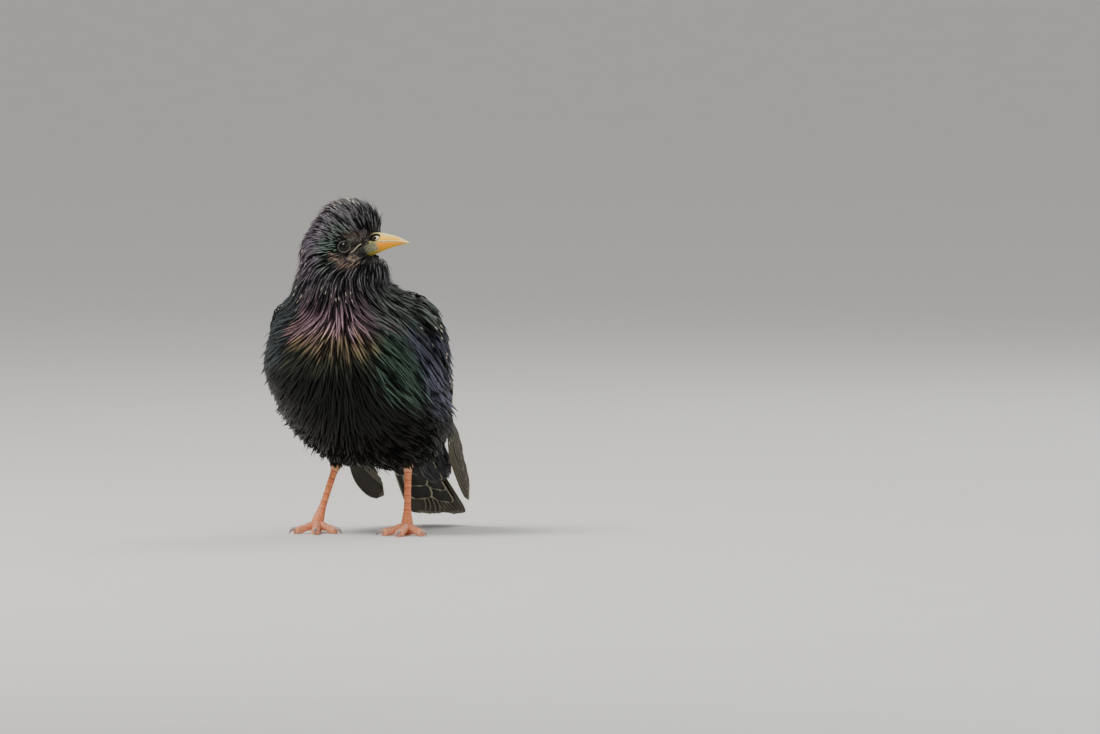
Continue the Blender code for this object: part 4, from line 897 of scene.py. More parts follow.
wingParts = {
    "middle": {"left": ([8, 30, 50, 70, 95, 120, 150], [97, 103, 112, 122, 124, 120, 112]),
               "right": ([8, 30, 50, 70, 95, 120, 150], [80, 80, 92, 110, 120, 119, 112])},
    "tip": {"left": 7.0, "right": 18.0}, "fan": {"left": (-2.4, 1.8, 8.4, -4, -1, -0.6), "right": (-2.6, 5.2, 12.0, -17, -4, -5.0)},
    # plane of the free tip: its tip point, the way along it, its outer side and how far it droops
    "blade": {"left": ((22.3, 78.0, 14.6), (0.01, 0.633, -0.771), (0.99, -0.03, -0.10), 2.0),
              "right": ((-17.8, 66.5, 17.8), (0.25, 0.70, -0.67), (-0.96, 0.20, -0.15), 8.0)},
    "steps": (0, 0.9, 2.6, 6.0, 11.5, 18.0, 25.0, 33.0),  # how far each primary stops short of the longest
    # tier: count, root s, tip s, root c, tip c, width, height at root and tip, blunt, colour, fringe
    "tiers": {
        "primary": (8, (92, 84), None, (-4, -1), (-2.0, 4.5), 7.6, (1.3, 3.4), 0.84, "flight", 0.35),
        "secondary": (6, (102, 97), (47, 55), (-7, 9), (-3.5, 9.5), 8.5, (2.6, 3.5), 0.80, "flight", 0.35),
        "tertial": (3, (106, 106), (55, 68), (5, 15), (5, 15.5), 10.0, (3.2, 4.3), 0.72, "flight", 0.5),
        "greater": (9, (113, 110), (91, 84), (-17.5, 8), (-16, 8), 5.2, (2.2, 3.8), 0.72, "covert", 0.8),
        "median": (9, (124, 121), (105, 98), (-17, 9), (-17.5, 9.5), 5.2, (2.0, 3.3), 0.70, "covert", 0.7),
        "lesser": (10, (134, 130), (115, 109), (-15, 10), (-16, 11), 5.0, (1.6, 2.9), 0.66, "lesser", 0.4),
        "shoulder": (8, (143, 139), (125, 119), (-9, 9), (-12, 11), 4.6, (0.8, 2.4), 0.62, "lesser", 0.2),
        "scapular": (8, (134, 124), (108, 86), (3, 21), (4, 21.5), 6.5, (3.6, 5.0), 0.55, "scapular", 0.25)},
    "colours": {"flight": (0.068, 0.054, 0.037), "covert": (0.075, 0.062, 0.048), "lesser": (0.035, 0.046, 0.046),
                "scapular": (0.024, 0.034, 0.032)},
    "lining": ([143, 139, 132, 123, 113, 103, 93, 83, 73, 62], [-7, -12, -16, -18.5, -18, -16.5, -14.5, -12, -9.5, -6],
               [6, 12, 18, 20, 20, 19.5, 18.5, 16, 12, 8]),
}


def between(pair, f):
    return pair[0] + (pair[1] - pair[0]) * f


# Wing sheet: laid on the body above s = 75, in the free tip's plane below 35, and mixed between
def wingSheet(side):
    onBody = sheetOver(restDepth(side), (4, 156), (40, 185), wingParts["middle"][side],
                       1.0 if side == "left" else -1.0)
    end, way, facing, droop = wingParts["blade"][side]
    end, way, facing = np.array(end), np.array(way) / np.linalg.norm(way), np.array(facing)
    facing = facing - way * (facing @ way)
    facing /= np.linalg.norm(facing)
    up = np.cross(facing, way)
    up *= np.sign(up[2])
    endS = wingParts["tip"][side]

    def place(s, c, height):
        s, c, height = np.broadcast_arrays(s, c, height)
        near = rise(s, 35, 75)[..., None]
        over = c + droop * rise(s, 25, 60)
        free = end - (s - endS)[..., None] * way + over[..., None] * up + height[..., None] * facing
        return free * (1 - near) + onBody(np.maximum(s, 20), c, height) * near
    return place


def makeWing(side):
    chance = np.random.default_rng(21 if side == "left" else 22)
    place = wingSheet(side)
    for tier, (count, root, tip, cRoot, cTip, width, heights, blunt, colour, fringe) in wingParts["tiers"].items():
        f = np.linspace(0, 1, count)
        if tier == "primary":
            height = (between((1.3, 2.9), f), between((1.3, 3.3), f))
            ends = wingParts["tip"][side] + np.array(wingParts["steps"])
        else:
            ends = between(tip, f)
            height = (np.full(count, heights[0]), between((heights[1] - 0.7, heights[1]), f))
        small = chance.uniform(-1, 1, (4, count))
        bend = 0.4
        if tier == "primary":
            *cTip, width, first, last, bend = wingParts["fan"][side]
            cRoot = (first, last)
        rows = (between(root, f), ends + small[0] * 0.6, between(cRoot, f), between(cTip, f) + small[1] * 0.3,
                width * (1 + 0.05 * small[2]), height[0], height[1] + 0.12 * small[3], np.full(count, blunt),
                np.full(count, bend), np.full(count, 0.5 if tier != "primary" else 0.62))
        tint = np.array(wingParts["colours"][colour]) * (1 + 0.25 * chance.uniform(-1, 1, (count, 1)))
        vanes(side + "Wing" + tier.capitalize(), place, rows, flightMaterial, tint,
              np.full(count, fringe))
    s, low, high = (np.array(v, float)[:, None] for v in wingParts["lining"])
    c = low + (high - low) * np.linspace(0, 1, 13)
    body = np.interp(s, [62, 90, 123, 143], [0.9, 1.2, 1.1, 0.6]) - 0.4
    lining = slab(side + "WingLining", place(s, c, 1.0 + body), place(s, c, 1.0), skinMaterial)
    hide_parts("wing_" + side)


for side in ("left", "right"):
    makeWing(side)

tailParts = {"root": (0.0, 47.0, 47.0), "tip": (2.0, 88.8, 9.4), "arch": 0.012, "halfRoot": 6.0, "halfTip": 14.0,
             "pairs": 6, "width": 10.5,
             "upper": ((7, 11.0, 48.0, 28.0), (7, 12.0, 60.0, 39.0)),
             "coverts": ((2, (-6.0, 5.6), (47.5, 49.5), 13.0, -1.7), (2, (-3.6, 6.4), (36.5, 38.5), 12.0, -2.8),
                         (3, (-7.0, 9.5), (26.0, 28.0), 10.5, -3.8), (4, (-9.0, 11.0), (16.0, 18.0), 8.5, -4.6))}


def makeTail():
    root, tip = np.array(tailParts["root"]), np.array(tailParts["tip"])
    length = np.linalg.norm(tip - root)
    down = (tip - root) / length
    over = np.cross((0.0, 1.0, 0.3), down)
    over *= np.sign(over[0]) / np.linalg.norm(over)
    out = np.cross(over, down)
    out *= np.sign(out[1])

    def place(s, c, height):
        lift = height - tailParts["arch"] * c * c
        return root + s[..., None] * down + c[..., None] * over + lift[..., None] * out

    chance = np.random.default_rng(31)
    pairs = tailParts["pairs"]
    f = (np.arange(pairs) + 0.5) / pairs
    f = np.concatenate([-f[::-1], f])
    count = len(f)
    rows = (np.full(count, 6.0), length + 5.2 - 4.4 * np.abs(f) ** 3 + chance.uniform(-0.5, 0.3, count),
            f * tailParts["halfRoot"], f * (tailParts["halfTip"] - 1.4), np.full(count, tailParts["width"]),
            -0.35 * np.abs(f) * 2, -0.5 * np.abs(f) * 2 - 0.1 * np.sign(f), 0.92 - 0.12 * np.abs(f), 0.6 * f, np.full(count, 0.5))
    tint = np.array([0.042, 0.031, 0.018]) * (1 + 0.2 * chance.uniform(-1, 1, (count, 1)))
    tail = vanes("tailFeathers", place, rows, flightMaterial, tint, np.full(count, 0.45), stations=22)
    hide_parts("tail")
    for number, (many, cs, tips, width, low) in enumerate(tailParts["coverts"]):
        f = np.linspace(0, 1, many)
        rows = (between(tips, f) - 26, between(tips, f) + 1.5 * np.sin(f * 7), between(cs, f) * 0.6, between(cs, f),
                np.full(many, width), np.full(many, low + 0.6), low - 0.45 * np.sin(f * math.pi * 0.999),
                np.full(many, 0.80), np.full(many, 0.0), np.full(many, 0.5))
        tint = np.array([0.012, 0.011, 0.009]) * (1 + 0.3 * chance.uniform(-1, 1, (many, 1)))
        vanes(f"underTailCoverts{number + 1}", place, rows, flightMaterial, tint, np.full(many, 1.0))
    over = sheetOver(bodyDepth, (24, 84), (92, 268), ([0, 100], [180, 180]))
    for number, (many, wide, root, tip) in enumerate(tailParts["upper"]):
        f = np.linspace(-1, 1, many)
        order = np.abs(f)
        rows = (np.full(many, root), tip + 4 * order, wide * 0.7 * f, wide * f, np.full(many, 8.0), np.full(many, 0.0),
                1.5 - 0.8 * order, np.full(many, 0.72), np.full(many, 0.0), np.full(many, 0.5))
        tint = np.array([0.036, 0.036, 0.042]) * (1 + 0.3 * chance.uniform(-1, 1, (many, 1)))
        vanes(f"upperTailCoverts{number + 1}", over, rows, flightMaterial, tint, np.full(many, 0.6))


makeTail()


# Bill, eyes and the bare skin at the mouth's corner

billParts = {
    "x": np.array([5.5, 10, 14, 20, 26, 30, 32.4]), "culmen": np.array([3.6, 4.6, 4.2, 2.6, 0.3, -2.0, -3.5]),
    "mouth": np.array([-3.2, -0.9, -0.7, -1.2, -2.2, -3.2, -3.8]),
    "lower": np.array([-7.4, -7.0, -6.2, -5.0, -4.2, -4.0, -4.1]),
    "half": np.array([4.2, 5.0, 4.5, 3.3, 2.2, 1.3, 0.5]), "nostril": (14.7, 3.9, 1.4),
}


# Value along the bill: a cubic through each knot with the knots' own mean slopes
def alongBill(x, knots):
    nodes = billParts["x"]
    slopes = np.gradient(knots, nodes)
    i = np.clip(np.searchsorted(nodes, x) - 1, 0, len(nodes) - 2)
    width = nodes[i + 1] - nodes[i]
    t = (x - nodes[i]) / width
    return ((2 * t**3 - 3 * t**2 + 1) * knots[i] + (t**3 - 2 * t**2 + t) * width * slopes[i]
            + (3 * t**2 - 2 * t**3) * knots[i + 1] + (t**3 - t**2) * width * slopes[i + 1])


# Half a bill: an arch from the mouth line, z = flat + (outer - flat) sin(a)^0.85, y = half cos(a);
# the upper half has a hollow round each nostril with a pale lid inside it and the open hole below that, the hollow and
# the hole painted near black as shade
def mandible(name, edge, node, material):
    nodes = billParts["x"]
    x = nodes[0] + (nodes[-1] - nodes[0]) * (1 - (1 - np.linspace(0, 1, 150)) ** 1.25)
    mouth, outer, half = (alongBill(x, billParts[k])[:, None] for k in ("mouth", edge, "half"))
    turn = np.linspace(0, math.pi, 91)
    upper = edge == "culmen"
    if not upper:
        half = half + 0.7 * (1 - rise(x, 8, 15))[:, None]
    flat = mouth + (gap / 2 if upper else -gap / 2)
    y = half * np.cos(turn) * (1 - 0.12 * np.sin(turn))
    z = flat + (outer - flat) * np.sin(turn) ** 0.85
    rings = np.stack([np.broadcast_to(x[:, None], y.shape), y, z], -1)
    hollow, cover, hole = np.zeros((3, *y.shape))
    if upper:
        side = np.abs(rings[..., 1]) > 1.2
        nx, nz = billParts["nostril"][::2]

        def oval(cx, cz, wide, high, soft):  # 1 inside an oval seen from the side
            return side * (1 - rise(np.hypot((rings[..., 0] - cx) / wide, (z - cz) / high), 1 - soft, 1 + soft))
        hollow = oval(nx + 0.1, nz + 0.10, 3.0, 1.9, 0.15)
        cover = oval(nx + 0.85, nz - 0.20, 1.8, 1.0, 0.15)
        hole = oval(nx + 0.15, nz - 0.25, 0.95, 0.72, 0.15)
        rings[..., 1] -= np.sign(rings[..., 1]) * (0.55 * hollow - 0.35 * cover * hollow + 0.55 * hole)
    columns = rings.shape[1]
    floor = rings[:, ::-1][:, 1:-1] * np.array([1, 1, 0]) + np.array([0, 0, 1]) * flat[..., None]
    ring = np.concatenate([rings, floor[:, ::6]], 1)
    more = ring.shape[1] - columns

    def wider(value):
        return np.concatenate([value, np.zeros((len(x), more))], 1)
    # painted shade: the nostril's hollow and hole are marked to be painted near black
    values = {"dark": wider(np.maximum(hollow * (1 - cover), hole)), "pale": wider(cover * (1 - hole)),
              "forward": (np.broadcast_to(x[:, None], ring.shape[:2]) - 5.5) / 26.9,
              "high": (ring[..., 2] - flat) / (outer - flat), "above": (ring[..., 2] - flat) * (1 if upper else -1)}
    made = ringObject(name, fromHead(ring.reshape(-1, 3)).reshape(ring.shape), material, values=values,
                      flip=not upper)
    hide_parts(node)


def hornMaterial(name, stops, keelTintAndHighlightColour, edgeColour, edgeWide, keelTintAndHighlightReach):
    paint = Paint(name)
    forward = paint.value("forward")
    grain = paint.noise(240.0, 4.0)
    fine = paint.noise(1100.0, 3.0)
    colour = paint.node("ShaderNodeValToRGB", {"stops": stops}, {0: forward + (grain - 0.5) * 0.06})
    # painted highlight: the top of the upper bill is lightened to pale yellow; on the lower bill the same mask tints
    # its keel yellower
    keelTintAndHighlight = paint.over(paint.value("high"), 0.62, 0.98) * paint.over(forward, *keelTintAndHighlightReach)
    colour = paint.mix(keelTintAndHighlight * 0.9, colour, keelTintAndHighlightColour)
    edge = 1.0 - paint.over(paint.value("above"), edgeWide * 0.4, edgeWide)
    colour = paint.mix(edge * paint.over(forward, 0.10, 0.22) * 0.8, colour, edgeColour)
    blotch = paint.over(fine, 0.45, 0.62) * (1.0 - paint.over(forward, 0.30, 0.42))
    colour = paint.mix(blotch * 0.6, colour, (0.06, 0.055, 0.045))
    colour = paint.mix(paint.value("pale"), colour, (0.74, 0.67, 0.48))
    # painted shade: near black in the nostril's hollow and hole
    colour = paint.mix(paint.over(paint.value("dark"), 0.30, 0.65), colour, (0.006, 0.005, 0.004))
    return paint.finish(Base_Color=colour, Roughness=grain * 0.16 + 0.24 + paint.value("dark") * 0.5,
                        Specular_IOR_Level=0.25, Normal=paint.bump(grain + fine * 0.5, 0.15, 0.0002))


upperHorn = hornMaterial("yellow horn above", [
    (0.0, (0.04, 0.032, 0.026)), (0.25, (0.10, 0.08, 0.06)), (0.31, (0.50, 0.38, 0.18)), (0.36, (0.97, 0.66, 0.20)),
    (0.48, (1.0, 0.55, 0.005)), (0.80, (1.0, 0.48, 0.0)), (1.0, (1.0, 0.72, 0.24))],
    (1.0, 0.88, 0.40), (1.0, 0.82, 0.32), 0.70, (0.24, 0.34))
lowerHorn = hornMaterial("orange horn below", [
    (0.0, (0.030, 0.026, 0.022)), (0.09, (0.075, 0.070, 0.052)), (0.18, (0.20, 0.21, 0.14)), (0.34, (0.30, 0.31, 0.17)), (0.43, (1.0, 0.34, 0.0)),
    (0.85, (1.0, 0.38, 0.0)), (1.0, (1.0, 0.58, 0.14))], (0.62, 0.42, 0.04), (0.70, 0.50, 0.14), 0.30, (0.0, 0.05))


def ball(name, centre, radius, material, rows=32, squash=(1, 1, 1), facing=(0, 0, 1), values=None):
    turn = np.linspace(0, math.pi, rows + 2)[1:-1][:, None]
    round_ = np.linspace(0, 2 * math.pi, rows * 2, endpoint=False)
    shape = np.stack([np.sin(turn) * np.cos(round_), np.sin(turn) * np.sin(round_),
                      np.cos(turn) + 0 * round_], -1) * radius * np.array(squash)
    up = np.array(facing, float) / np.linalg.norm(facing)
    side = np.cross(up, (0.0, 0.31, 0.95))
    side /= np.linalg.norm(side)
    rings = shape @ np.stack([side, np.cross(up, side), up]) + centre
    made = ringObject(name, rings, material, centre + up * radius * squash[2], centre - up * radius * squash[2],
                      flip=True)
    return made


eyePaint = Paint("eye")
eyeUp = eyePaint.uv("along")[1]
irisShare = eyePaint.over(eyeUp, 0.165, 0.18) * (1.0 - eyePaint.over(eyeUp, 0.29, 0.32))
eyeMaterial = eyePaint.finish(
    Base_Color=eyePaint.mix(irisShare, (0.002, 0.002, 0.002), (0.012, 0.008, 0.006)),
    Roughness=0.04, Specular_IOR_Level=0.24)

lidPaint = Paint("bare lid")
lidGrain = lidPaint.noise(1500.0, 3.0)
# painted shade: where "rim" is 0, on the lid's inner side against the eyeball and at its back, it is painted near
# black; its outer ridge takes the grained grey-brown
lidMaterial = lidPaint.finish(
    Base_Color=lidPaint.mix(lidPaint.value("rim"), (0.006, 0.005, 0.005),
                            lidPaint.mix(lidGrain, (0.035, 0.031, 0.028), (0.110, 0.098, 0.086))),
    Roughness=0.55, Normal=lidPaint.bump(lidGrain, 0.5, 0.0002))

gapePaint = Paint("pale edge of the mouth")
gapeGrain = gapePaint.noise(900.0, 3.0)
gapeMaterial = gapePaint.finish(Base_Color=gapePaint.mix(gapeGrain, (0.42, 0.38, 0.26), (0.70, 0.64, 0.46)),
                                Roughness=0.5, Normal=gapePaint.bump(gapeGrain, 0.3, 0.0002))


facePaint = Paint("bare skin of the face")
faceGrain = facePaint.noise(1300.0, 4.0)
faceBlot = facePaint.noise(420.0, 2.0)
faceMaterial = facePaint.finish(
    Base_Color=facePaint.mix(facePaint.over(faceGrain * 0.6 + faceBlot * 0.4, 0.43, 0.60), (0.020, 0.017, 0.015),
                             facePaint.mix(facePaint.value("bare"), (0.088, 0.080, 0.066), (0.22, 0.155, 0.115))),
    Roughness=0.7, Specular_IOR_Level=0.2, Normal=facePaint.bump(faceGrain, 0.5, 0.0003))


# Tube: rings of given radii round a path, each ring square to the path
def tubeRings(path, radii, around=24, flatten=1.0, shape=None):
    tangent = np.gradient(path, axis=0)
    tangent /= np.linalg.norm(tangent, axis=1)[:, None]
    side = np.cross(tangent, (0.0, 0.0, 1.0))
    weak = np.linalg.norm(side, axis=1) < 0.2
    side[weak] = np.cross(tangent[weak], (0.0, 1.0, 0.0))
    side /= np.linalg.norm(side, axis=1)[:, None]
    up = np.cross(side, tangent)
    turn = np.arange(around) * 2 * math.pi / around
    wide = np.asarray(radii)[:, None] * (np.ones(around) if shape is None else shape)
    return (path[:, None, :] + side[:, None, :] * (wide * np.cos(turn) * flatten)[..., None]
            + up[:, None, :] * (wide * np.sin(turn))[..., None])


def makeFace():
    mandible("billUpper", "culmen", "bill_upper", upperHorn)
    mandible("billLower", "lower", "bill_lower", lowerHorn)
    for label, side in (("Left", 1.0), ("Right", -1.0)):
        facing = np.array(eyeParts["facing"]) * (1, side, 1)
        facing = facing / np.linalg.norm(facing)
        centre = np.array(eyeParts["place"]) * (1, side, 1)
        eye = ball("eye" + label, fromHead(centre[None])[0], eyeParts["radius"], eyeMaterial,
                   facing=facing @ headAxes)
        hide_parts("eye_" + label.lower())
        seat = math.sqrt(eyeParts["radius"] ** 2 - eyeParts["lid"] ** 2) + 0.35
        across = np.cross(facing, (0.0, 0.0, 1.0))
        across /= np.linalg.norm(across)
        up = np.cross(across, facing)
        turn = np.linspace(0, 2 * math.pi, 72, endpoint=False)[:, None, None]
        roll = np.linspace(0, 2 * math.pi, 14, endpoint=False)[None, :, None]
        oval = 1 + 0.05 * np.cos(2 * turn)
        radius = eyeParts["lid"] * oval + eyeParts["lidThick"] * np.cos(roll)
        rings = (centre + facing * seat + (np.cos(turn) * across + np.sin(turn) * up) * radius
                 + facing * eyeParts["lidThick"] * 1.3 * np.sin(roll))
        faces = gridFaces(73, 14, True) % (72 * 14)
        # painted shade: "rim" marks the lid's outer ridge; the rest, in the crease against the eyeball, is painted
        # near black
        rim = np.broadcast_to(band(np.cos(roll), 0.25, 0.9, 0.35) * (np.sin(roll) > -0.5), (72, 14, 1))
        lid = meshObject("lid" + label, fromHead(rings.reshape(-1, 3)), [faces], lidMaterial,
                         values={"rim": rim.ravel()})
        x = np.linspace(2.6, 13.2, 40)
        mouth = np.interp(x, [1.0, 3.0, 5.2, 7.8, 9.4, 12], [-5.3, -4.7, -3.7, -1.8, -1.0, -0.8])
        inside = fromHead(np.stack([x, 0 * x, mouth + 0.1], 1))
        ways = headAxes[1] * side
        reach = np.zeros(len(x))
        for _ in range(60):
            reach += -bodyDepth(inside + ways * reach[:, None]) * 0.9
        half = alongBill(np.clip(x, 5.5, 32), billParts["half"]) * 0.99
        reach = np.where(x > 5.5, np.maximum(reach * (x < 9.5), half), reach)
        path = inside + ways * (reach + 0.38 * rise(x, 4.6, 6.5) * (1 - 0.8 * rise(x, 10.0, 12.5)))[:, None]
        flange = ringObject("mouthEdge" + label, tubeRings(path, np.interp(x, [2.6, 5, 10.5, 13.2],
                                                                          [0.05, 0.22, 0.22, 0.05]), 12), gapeMaterial)
        for piece, first, last, turnUp in (("mouthSkin", 1.8, 9.6, False), ("loreSkin", 3.4, 11.8, True)):
            x = np.linspace(first, last, 40)[:, None]
            mouth = np.interp(x, [0.9, 3.0, 5.2, 7.8, 9.6], [-5.3, -4.7, -3.8, -1.9, -1.1])
            if turnUp:
                far = np.interp(x, [3.4, 5.0, 8.0, 11.8], [0.5, 3.6, 5.0, 4.9])
            else:
                far = np.interp(x, [0.9, 3.0, 5.5, 7.6, 9.6], [-7.0, -9.0, -9.6, -8.8, -7.2])
            z = mouth + (far - mouth) * np.linspace(0, 1, 20)
            x = x + 0 * z
            start = fromHead(np.stack([x, 0 * x, z], -1).reshape(-1, 3))
            reach = np.zeros(len(start))
            for _ in range(60):
                reach += -bodyDepth(start + ways * reach[:, None]) * 0.9
            ahead = np.maximum(x, 5.5)
            line, edge, half = (alongBill(ahead, billParts[k]) for k in ("mouth", "culmen" if turnUp else "lower",
                                                                         "half"))
            a = np.clip((z - line) / (edge - line), 0, 0.999) ** (1 / 0.85)
            bill = (half + (0 if turnUp else 0.7) * (1 - rise(x, 8, 15))) * np.sqrt(1 - a ** 2) * (1 - 0.12 * a)
            if turnUp:
                share = rise(x, 8.0, 11.2) * (1 - rise(a, 0.8, 0.99))
                sunk = 0.25 + 0.5 * rise(x, 11.0, 11.8)
            else:
                share = rise(x, 5.0, 8.6) * rise(z, edge - 0.3, edge + 1.2)
                sunk = 0.5 * (1 - rise(x, 1.8, 4)) + 0.5 * rise(x, 8.9, 9.6) + 0.9 * rise(-z, 7.0, 9.4)
            out = reach.reshape(x.shape) * (1 - share) + (bill + 0.12) * share - sunk
            grids = [fromHead(np.stack([x, side * (out - d), z], -1).reshape(-1, 3)).reshape(*x.shape, 3)
                     for d in (0, 0.6)]
            if (side > 0) != turnUp:
                grids = [g[:, ::-1] for g in grids]
            skinny = rise(-z, 5.0, 7.0) * (1 - rise(x, 5.5, 8.0))
            bare = slab(piece + label, *grids, faceMaterial, {"bare": skinny if (side > 0) == turnUp else skinny[:, ::-1]})


makeFace()
print("face")


# Legs: a tarsus with scutes down its front, four toes with pads and scutes, and curved claws

legParts = {
    "ankle": {"right": (-17.5, 5.0, 34.0), "left": (22.0, 5.0, 34.0)},
    "foot": {"right": (-24.0, -4.0, 4.6), "left": (25.5, -4.0, 4.6)},
    "turn": {"right": 22.0, "left": 12.0}, "radius": 1.7,
    "thighTop": {"right": (-15.0, -3.0, 58.0), "left": (17.5, -3.0, 58.0)},
    "toes": {"middle": (0, 19, 2.2, 1.8), "inner": (-44, 14.5, 2.1, 1.75), "outer": (42, 16, 2.1, 1.7),
             "hind": (180, 12, 2.1, 1.8)},
    "claws": {"middle": 6.5, "inner": 6.0, "outer": 5.5, "hind": 8.0},
    "scutes": {"tarsus": 9, "toe": 7},
}


# Leg skin: orange red, darker along the scutes' edges, with a painted highlight across the middle of each scute's
# front, paler and pinker at the toes
def legMaterial():
    paint = Paint("scaled leg")
    scute = paint.value("scute")
    toe = paint.value("toe")
    grain = paint.noise(420.0, 4.0)
    fine = paint.noise(1600.0, 3.0)
    colour = paint.mix(grain, (0.66, 0.13, 0.050), (0.90, 0.30, 0.12))
    colour = paint.mix(toe * 0.6, colour, (0.82, 0.40, 0.26))
    colour = paint.mix(paint.value("ankle") * 0.7, colour, (0.80, 0.55, 0.34))
    colour = paint.mix(paint.value("ankle") * paint.over(fine, 0.5, 0.62) * 0.8, colour, (0.05, 0.03, 0.02))
    # painted highlight: the middle of each scute on the front is lightened to pale orange
    colour = paint.mix(paint.over(scute, 0.30, 0.62) * 0.30, colour, (0.96, 0.44, 0.20))
    colour = paint.mix(paint.over(scute + (fine - 0.5) * 0.3, 0.78, 0.98) * 0.85, colour, (0.42, 0.04, 0.018))
    colour = paint.mix(paint.over(fine, 0.62, 0.80) * 0.35, colour, (0.86, 0.62, 0.50))
    height = fine * 0.5 - paint.over(scute, 0.8, 1.0)
    return paint.finish(Base_Color=colour, Roughness=fine * 0.2 + 0.38, Subsurface_Weight=0.1,
                        Normal=paint.bump(height, 0.5, 0.0002))


def clawMaterial():
    paint = Paint("horn of the claws")
    up = paint.uv("along")[1]
    grain = paint.noise(500.0, 3.0)
    colour = paint.node("ShaderNodeValToRGB", {"stops": [
        (0.0, (0.62, 0.42, 0.34)), (0.45, (0.42, 0.33, 0.30)), (0.95, (0.10, 0.08, 0.08))]},
        {0: up + (grain - 0.5) * 0.2})
    return paint.finish(Base_Color=colour, Roughness=grain * 0.15 + 0.25,
                        Normal=paint.bump(grain, 0.15, 0.0002))


legSkin, clawHorn = legMaterial(), clawMaterial()


# Scute rows: the radius grows along each scute and drops at its lower edge, strongest on the front
def scuteRings(path, radii, count, facing, around=28, toe=0.0, flatten=1.0, low=0.0):
    t = np.linspace(0, 1, len(path))
    phase = (t * count + low * np.maximum(t - 0.72, 0) ** 2 * 12) % 1.0
    rings = tubeRings(path, radii, around, flatten)
    away = rings - path[:, None, :]
    size = np.linalg.norm(away, axis=2)
    front = np.clip((away * facing).sum(2) / size + 0.15, 0, 1)
    swell = 0.09 * (phase - 0.45)[:, None] * front
    rings = path[:, None, :] + away * (1 + swell)[..., None]
    # this scute mask sets the darker joints and also a painted highlight across each scute
    edge = np.clip(np.maximum(phase, 1 - 6 * phase), 0, 1)[:, None] * rise(front, 0.1, 0.5)
    return rings, {"scute": edge, "toe": np.full(edge.shape, toe)}


def makeLeg(side):
    ankle, foot = np.array(legParts["ankle"][side]), np.array(legParts["foot"][side])
    way = (foot - ankle) / np.linalg.norm(foot - ankle)
    t = np.linspace(-0.12, 1.02, 150)
    path = ankle + (foot - ankle) * t[:, None]
    swell = 0.75 * np.exp(-(t / 0.10) ** 2) + 1.35 * np.exp(-(np.minimum(t - 1, 0) / 0.20) ** 2)
    turn = math.radians(legParts["turn"][side])
    mirror = 1.0 if side == "left" else -1.0
    facing = np.array([math.sin(turn), -math.cos(turn), 0.25])
    rings, values = scuteRings(path, legParts["radius"] + swell, legParts["scutes"]["tarsus"], facing, low=5.0)
    values["ankle"] = np.exp(-(np.maximum(t, 0)[:, None] / 0.13) ** 2) + 0 * values["toe"]
    tarsus = ringObject(side + "Tarsus", rings, legSkin, values=values)
    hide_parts("foot_" + side)
    pad = ball(side + "FootPad", foot + (0, 0, -1.6), 3.0, legSkin, 24)
    for label, (spread, length, root, tip) in legParts["toes"].items():
        angle = turn + math.radians(spread) * mirror
        out = np.array([math.sin(angle), -math.cos(angle), 0.0])
        t = np.linspace(0, 1, 110)
        high = 3.2 * (1 - t) ** 1.6 + (tip - 0.15) + 0.25 * np.sin(t * np.pi)
        path = foot * (1, 1, 0) + out * (length * t)[:, None] + np.array([0, 0, 1.0]) * high[:, None]
        radii = root + (tip - root) * t + 0.14 * np.cos(t * 2 * np.pi * 3) + 0.30 * np.exp(-((t - 0.90) / 0.10) ** 2)
        radii[-8:] *= np.sqrt(np.clip(1 - np.linspace(0, 0.96, 8) ** 2, 0.02, 1))
        rings, values = scuteRings(path, radii, legParts["scutes"]["toe"], np.array([0, 0, 1.0]), toe=1.0)
        rings[..., 2] = np.maximum(rings[..., 2], 0.03)
        toe = ringObject(side + "Toe" + label.capitalize(), rings, legSkin, values=values)
        end = path[-1]
        t = np.linspace(0, 1, 40)[:, None]
        start, over, point = (end + out * (legParts["claws"][label] * k) + (0, 0, z)
                              for k, z in ((-0.22, 0.75), (0.46, 1.9), (0.68, 0.25 - end[2])))
        line = (1 - t) ** 2 * start + 2 * t * (1 - t) * over + t ** 2 * point
        t = t.ravel()
        thick = (tip * 0.66) * (1 - t) ** 0.7 + 0.05
        claw = ringObject(side + "Claw" + label.capitalize(), tubeRings(line, thick, 16, 0.8), clawHorn)
        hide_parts(f"claw_{side}_{label}")
    # feathered shin: lances down the thigh to the ankle
    chance = np.random.default_rng(41 if side == "left" else 42)
    top = np.array(legParts["thighTop"][side])
    count = 260
    down = (ankle - top) / np.linalg.norm(ankle - top)
    a = chance.uniform(0, 2 * math.pi, count)
    f = chance.uniform(0.35, 0.93, count)
    size = (12.5 + (3.0 - 12.5) * f ** 0.8)
    axis = np.cross(down, (0, 1.0, 0))
    axis /= np.linalg.norm(axis)
    other = np.cross(down, axis)
    outwards = np.cos(a)[:, None] * axis + np.sin(a)[:, None] * other
    roots = top + (ankle - top) * f[:, None] + outwards * (size * 0.95)[:, None]
    t = np.linspace(0, 1, 5)
    path = roots[:, None] + ((down - outwards * 0.30)[:, None] * (chance.uniform(5, 8, (count, 1)) * t)[..., None])
    normal = np.broadcast_to(outwards[:, None], path.shape)
    high = np.broadcast_to(-1.2 + 1.6 * t, (count, 5))
    brown = np.broadcast_to(np.array([0.020, 0.016, 0.013]), path.shape)
    plumes(side + "ShinFeathers", path, normal, high, np.full(count, 0.95), {"shape": strand, "clump": (4, 0.5)},
           hairMaterial, chance, None, (brown, np.full((count, 5), 0.05)))


for side in ("left", "right"):
    makeLeg(side)
print("legs")


# Floor, light and camera

stageParts = {"floor": 16.0, "flat": 6.0, "sweep": 0.03, "azimuth": 24.0, "elevation": 2.5,
              "distance": 7.5, "aim": (93.0, 83.25), "wide": 0.55}


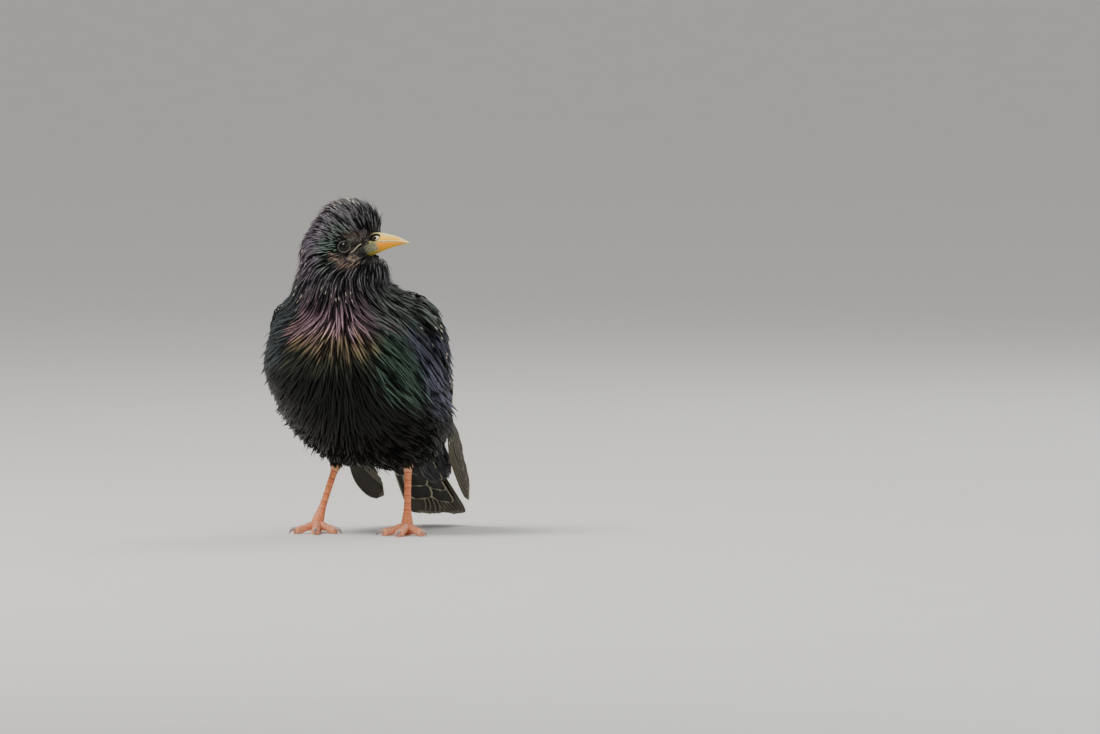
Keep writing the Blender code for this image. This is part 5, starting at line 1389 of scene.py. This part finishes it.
def makeStage():
    away = stageParts["floor"] * np.linspace(0, 1, 81)[1:, None] ** 2
    turn = np.arange(96) * 2 * math.pi / 96
    high = stageParts["sweep"] * np.maximum(away - stageParts["flat"], 0) ** 2
    rings = np.stack([away * np.cos(turn), away * np.sin(turn), high + 0 * turn], -1).reshape(-1, 3)
    points = np.vstack([rings, [[0, 0, 0]]])
    middle = [(len(rings), k, (k + 1) % 96) for k in range(96)]
    mesh = bpy.data.meshes.new("floor")
    mesh.from_pydata(points.tolist(), [], gridFaces(80, 96, True)[:, ::-1].tolist() + middle)
    paint = Paint("pale floor")
    grain = paint.noise(30.0, 4.0)
    mesh.materials.append(paint.finish(Base_Color=paint.mix(grain, (0.74, 0.735, 0.72), (0.79, 0.785, 0.77)),
                                       Roughness=0.75))
    floor = bpy.data.objects.new("floor", mesh)
    bpy.context.scene.collection.objects.link(floor)
    world = bpy.data.worlds.new("studio")
    bpy.context.scene.world = world
    world.use_nodes = True
    world.node_tree.nodes["Background"].inputs[0].default_value = (0.86, 0.85, 0.82, 1)
    world.node_tree.nodes["Background"].inputs[1].default_value = 0.6
    turn, tilt = math.radians(stageParts["azimuth"]), math.radians(stageParts["elevation"])
    back = Vector((math.sin(turn) * math.cos(tilt), -math.cos(turn) * math.cos(tilt), math.sin(tilt)))
    right = Vector((math.cos(turn), math.sin(turn), 0))
    up = back.cross(right)
    u, v = stageParts["aim"]
    aim = (Vector(birdShift) + right * u + up * v) * mm
    data = bpy.data.cameras.new("camera")
    data.sensor_width = 36
    data.lens = 36 * stageParts["distance"] / stageParts["wide"]
    data.clip_end = 50
    camera = bpy.data.objects.new("camera", data)
    camera.location = aim + back * stageParts["distance"]
    camera.rotation_mode = "QUATERNION"
    camera.rotation_quaternion = (-back).to_track_quat("-Z", "Y")
    bpy.context.scene.collection.objects.link(camera)
    bpy.context.scene.camera = camera
    for name, place, size, power, colour in (
            ("key", (-0.6, -0.9, 1.7), 0.8, 34, (1.0, 0.97, 0.92)), ("fill", (1.4, -1.0, 0.7), 1.2, 6, (0.92, 0.96, 1.0)),
            ("rim", (0.3, 1.5, 1.3), 1.0, 12, (1.0, 1.0, 1.0))):
        light = bpy.data.lights.new(name, "AREA")
        light.size, light.energy, light.color = size, power, colour
        lamp = bpy.data.objects.new(name, light)
        lamp.location = Vector(place)
        lamp.rotation_mode = "QUATERNION"
        lamp.rotation_quaternion = (Vector((0, 0, 0.08)) - Vector(place)).to_track_quat("-Z", "Y")
        bpy.context.scene.collection.objects.link(lamp)


makeStage()
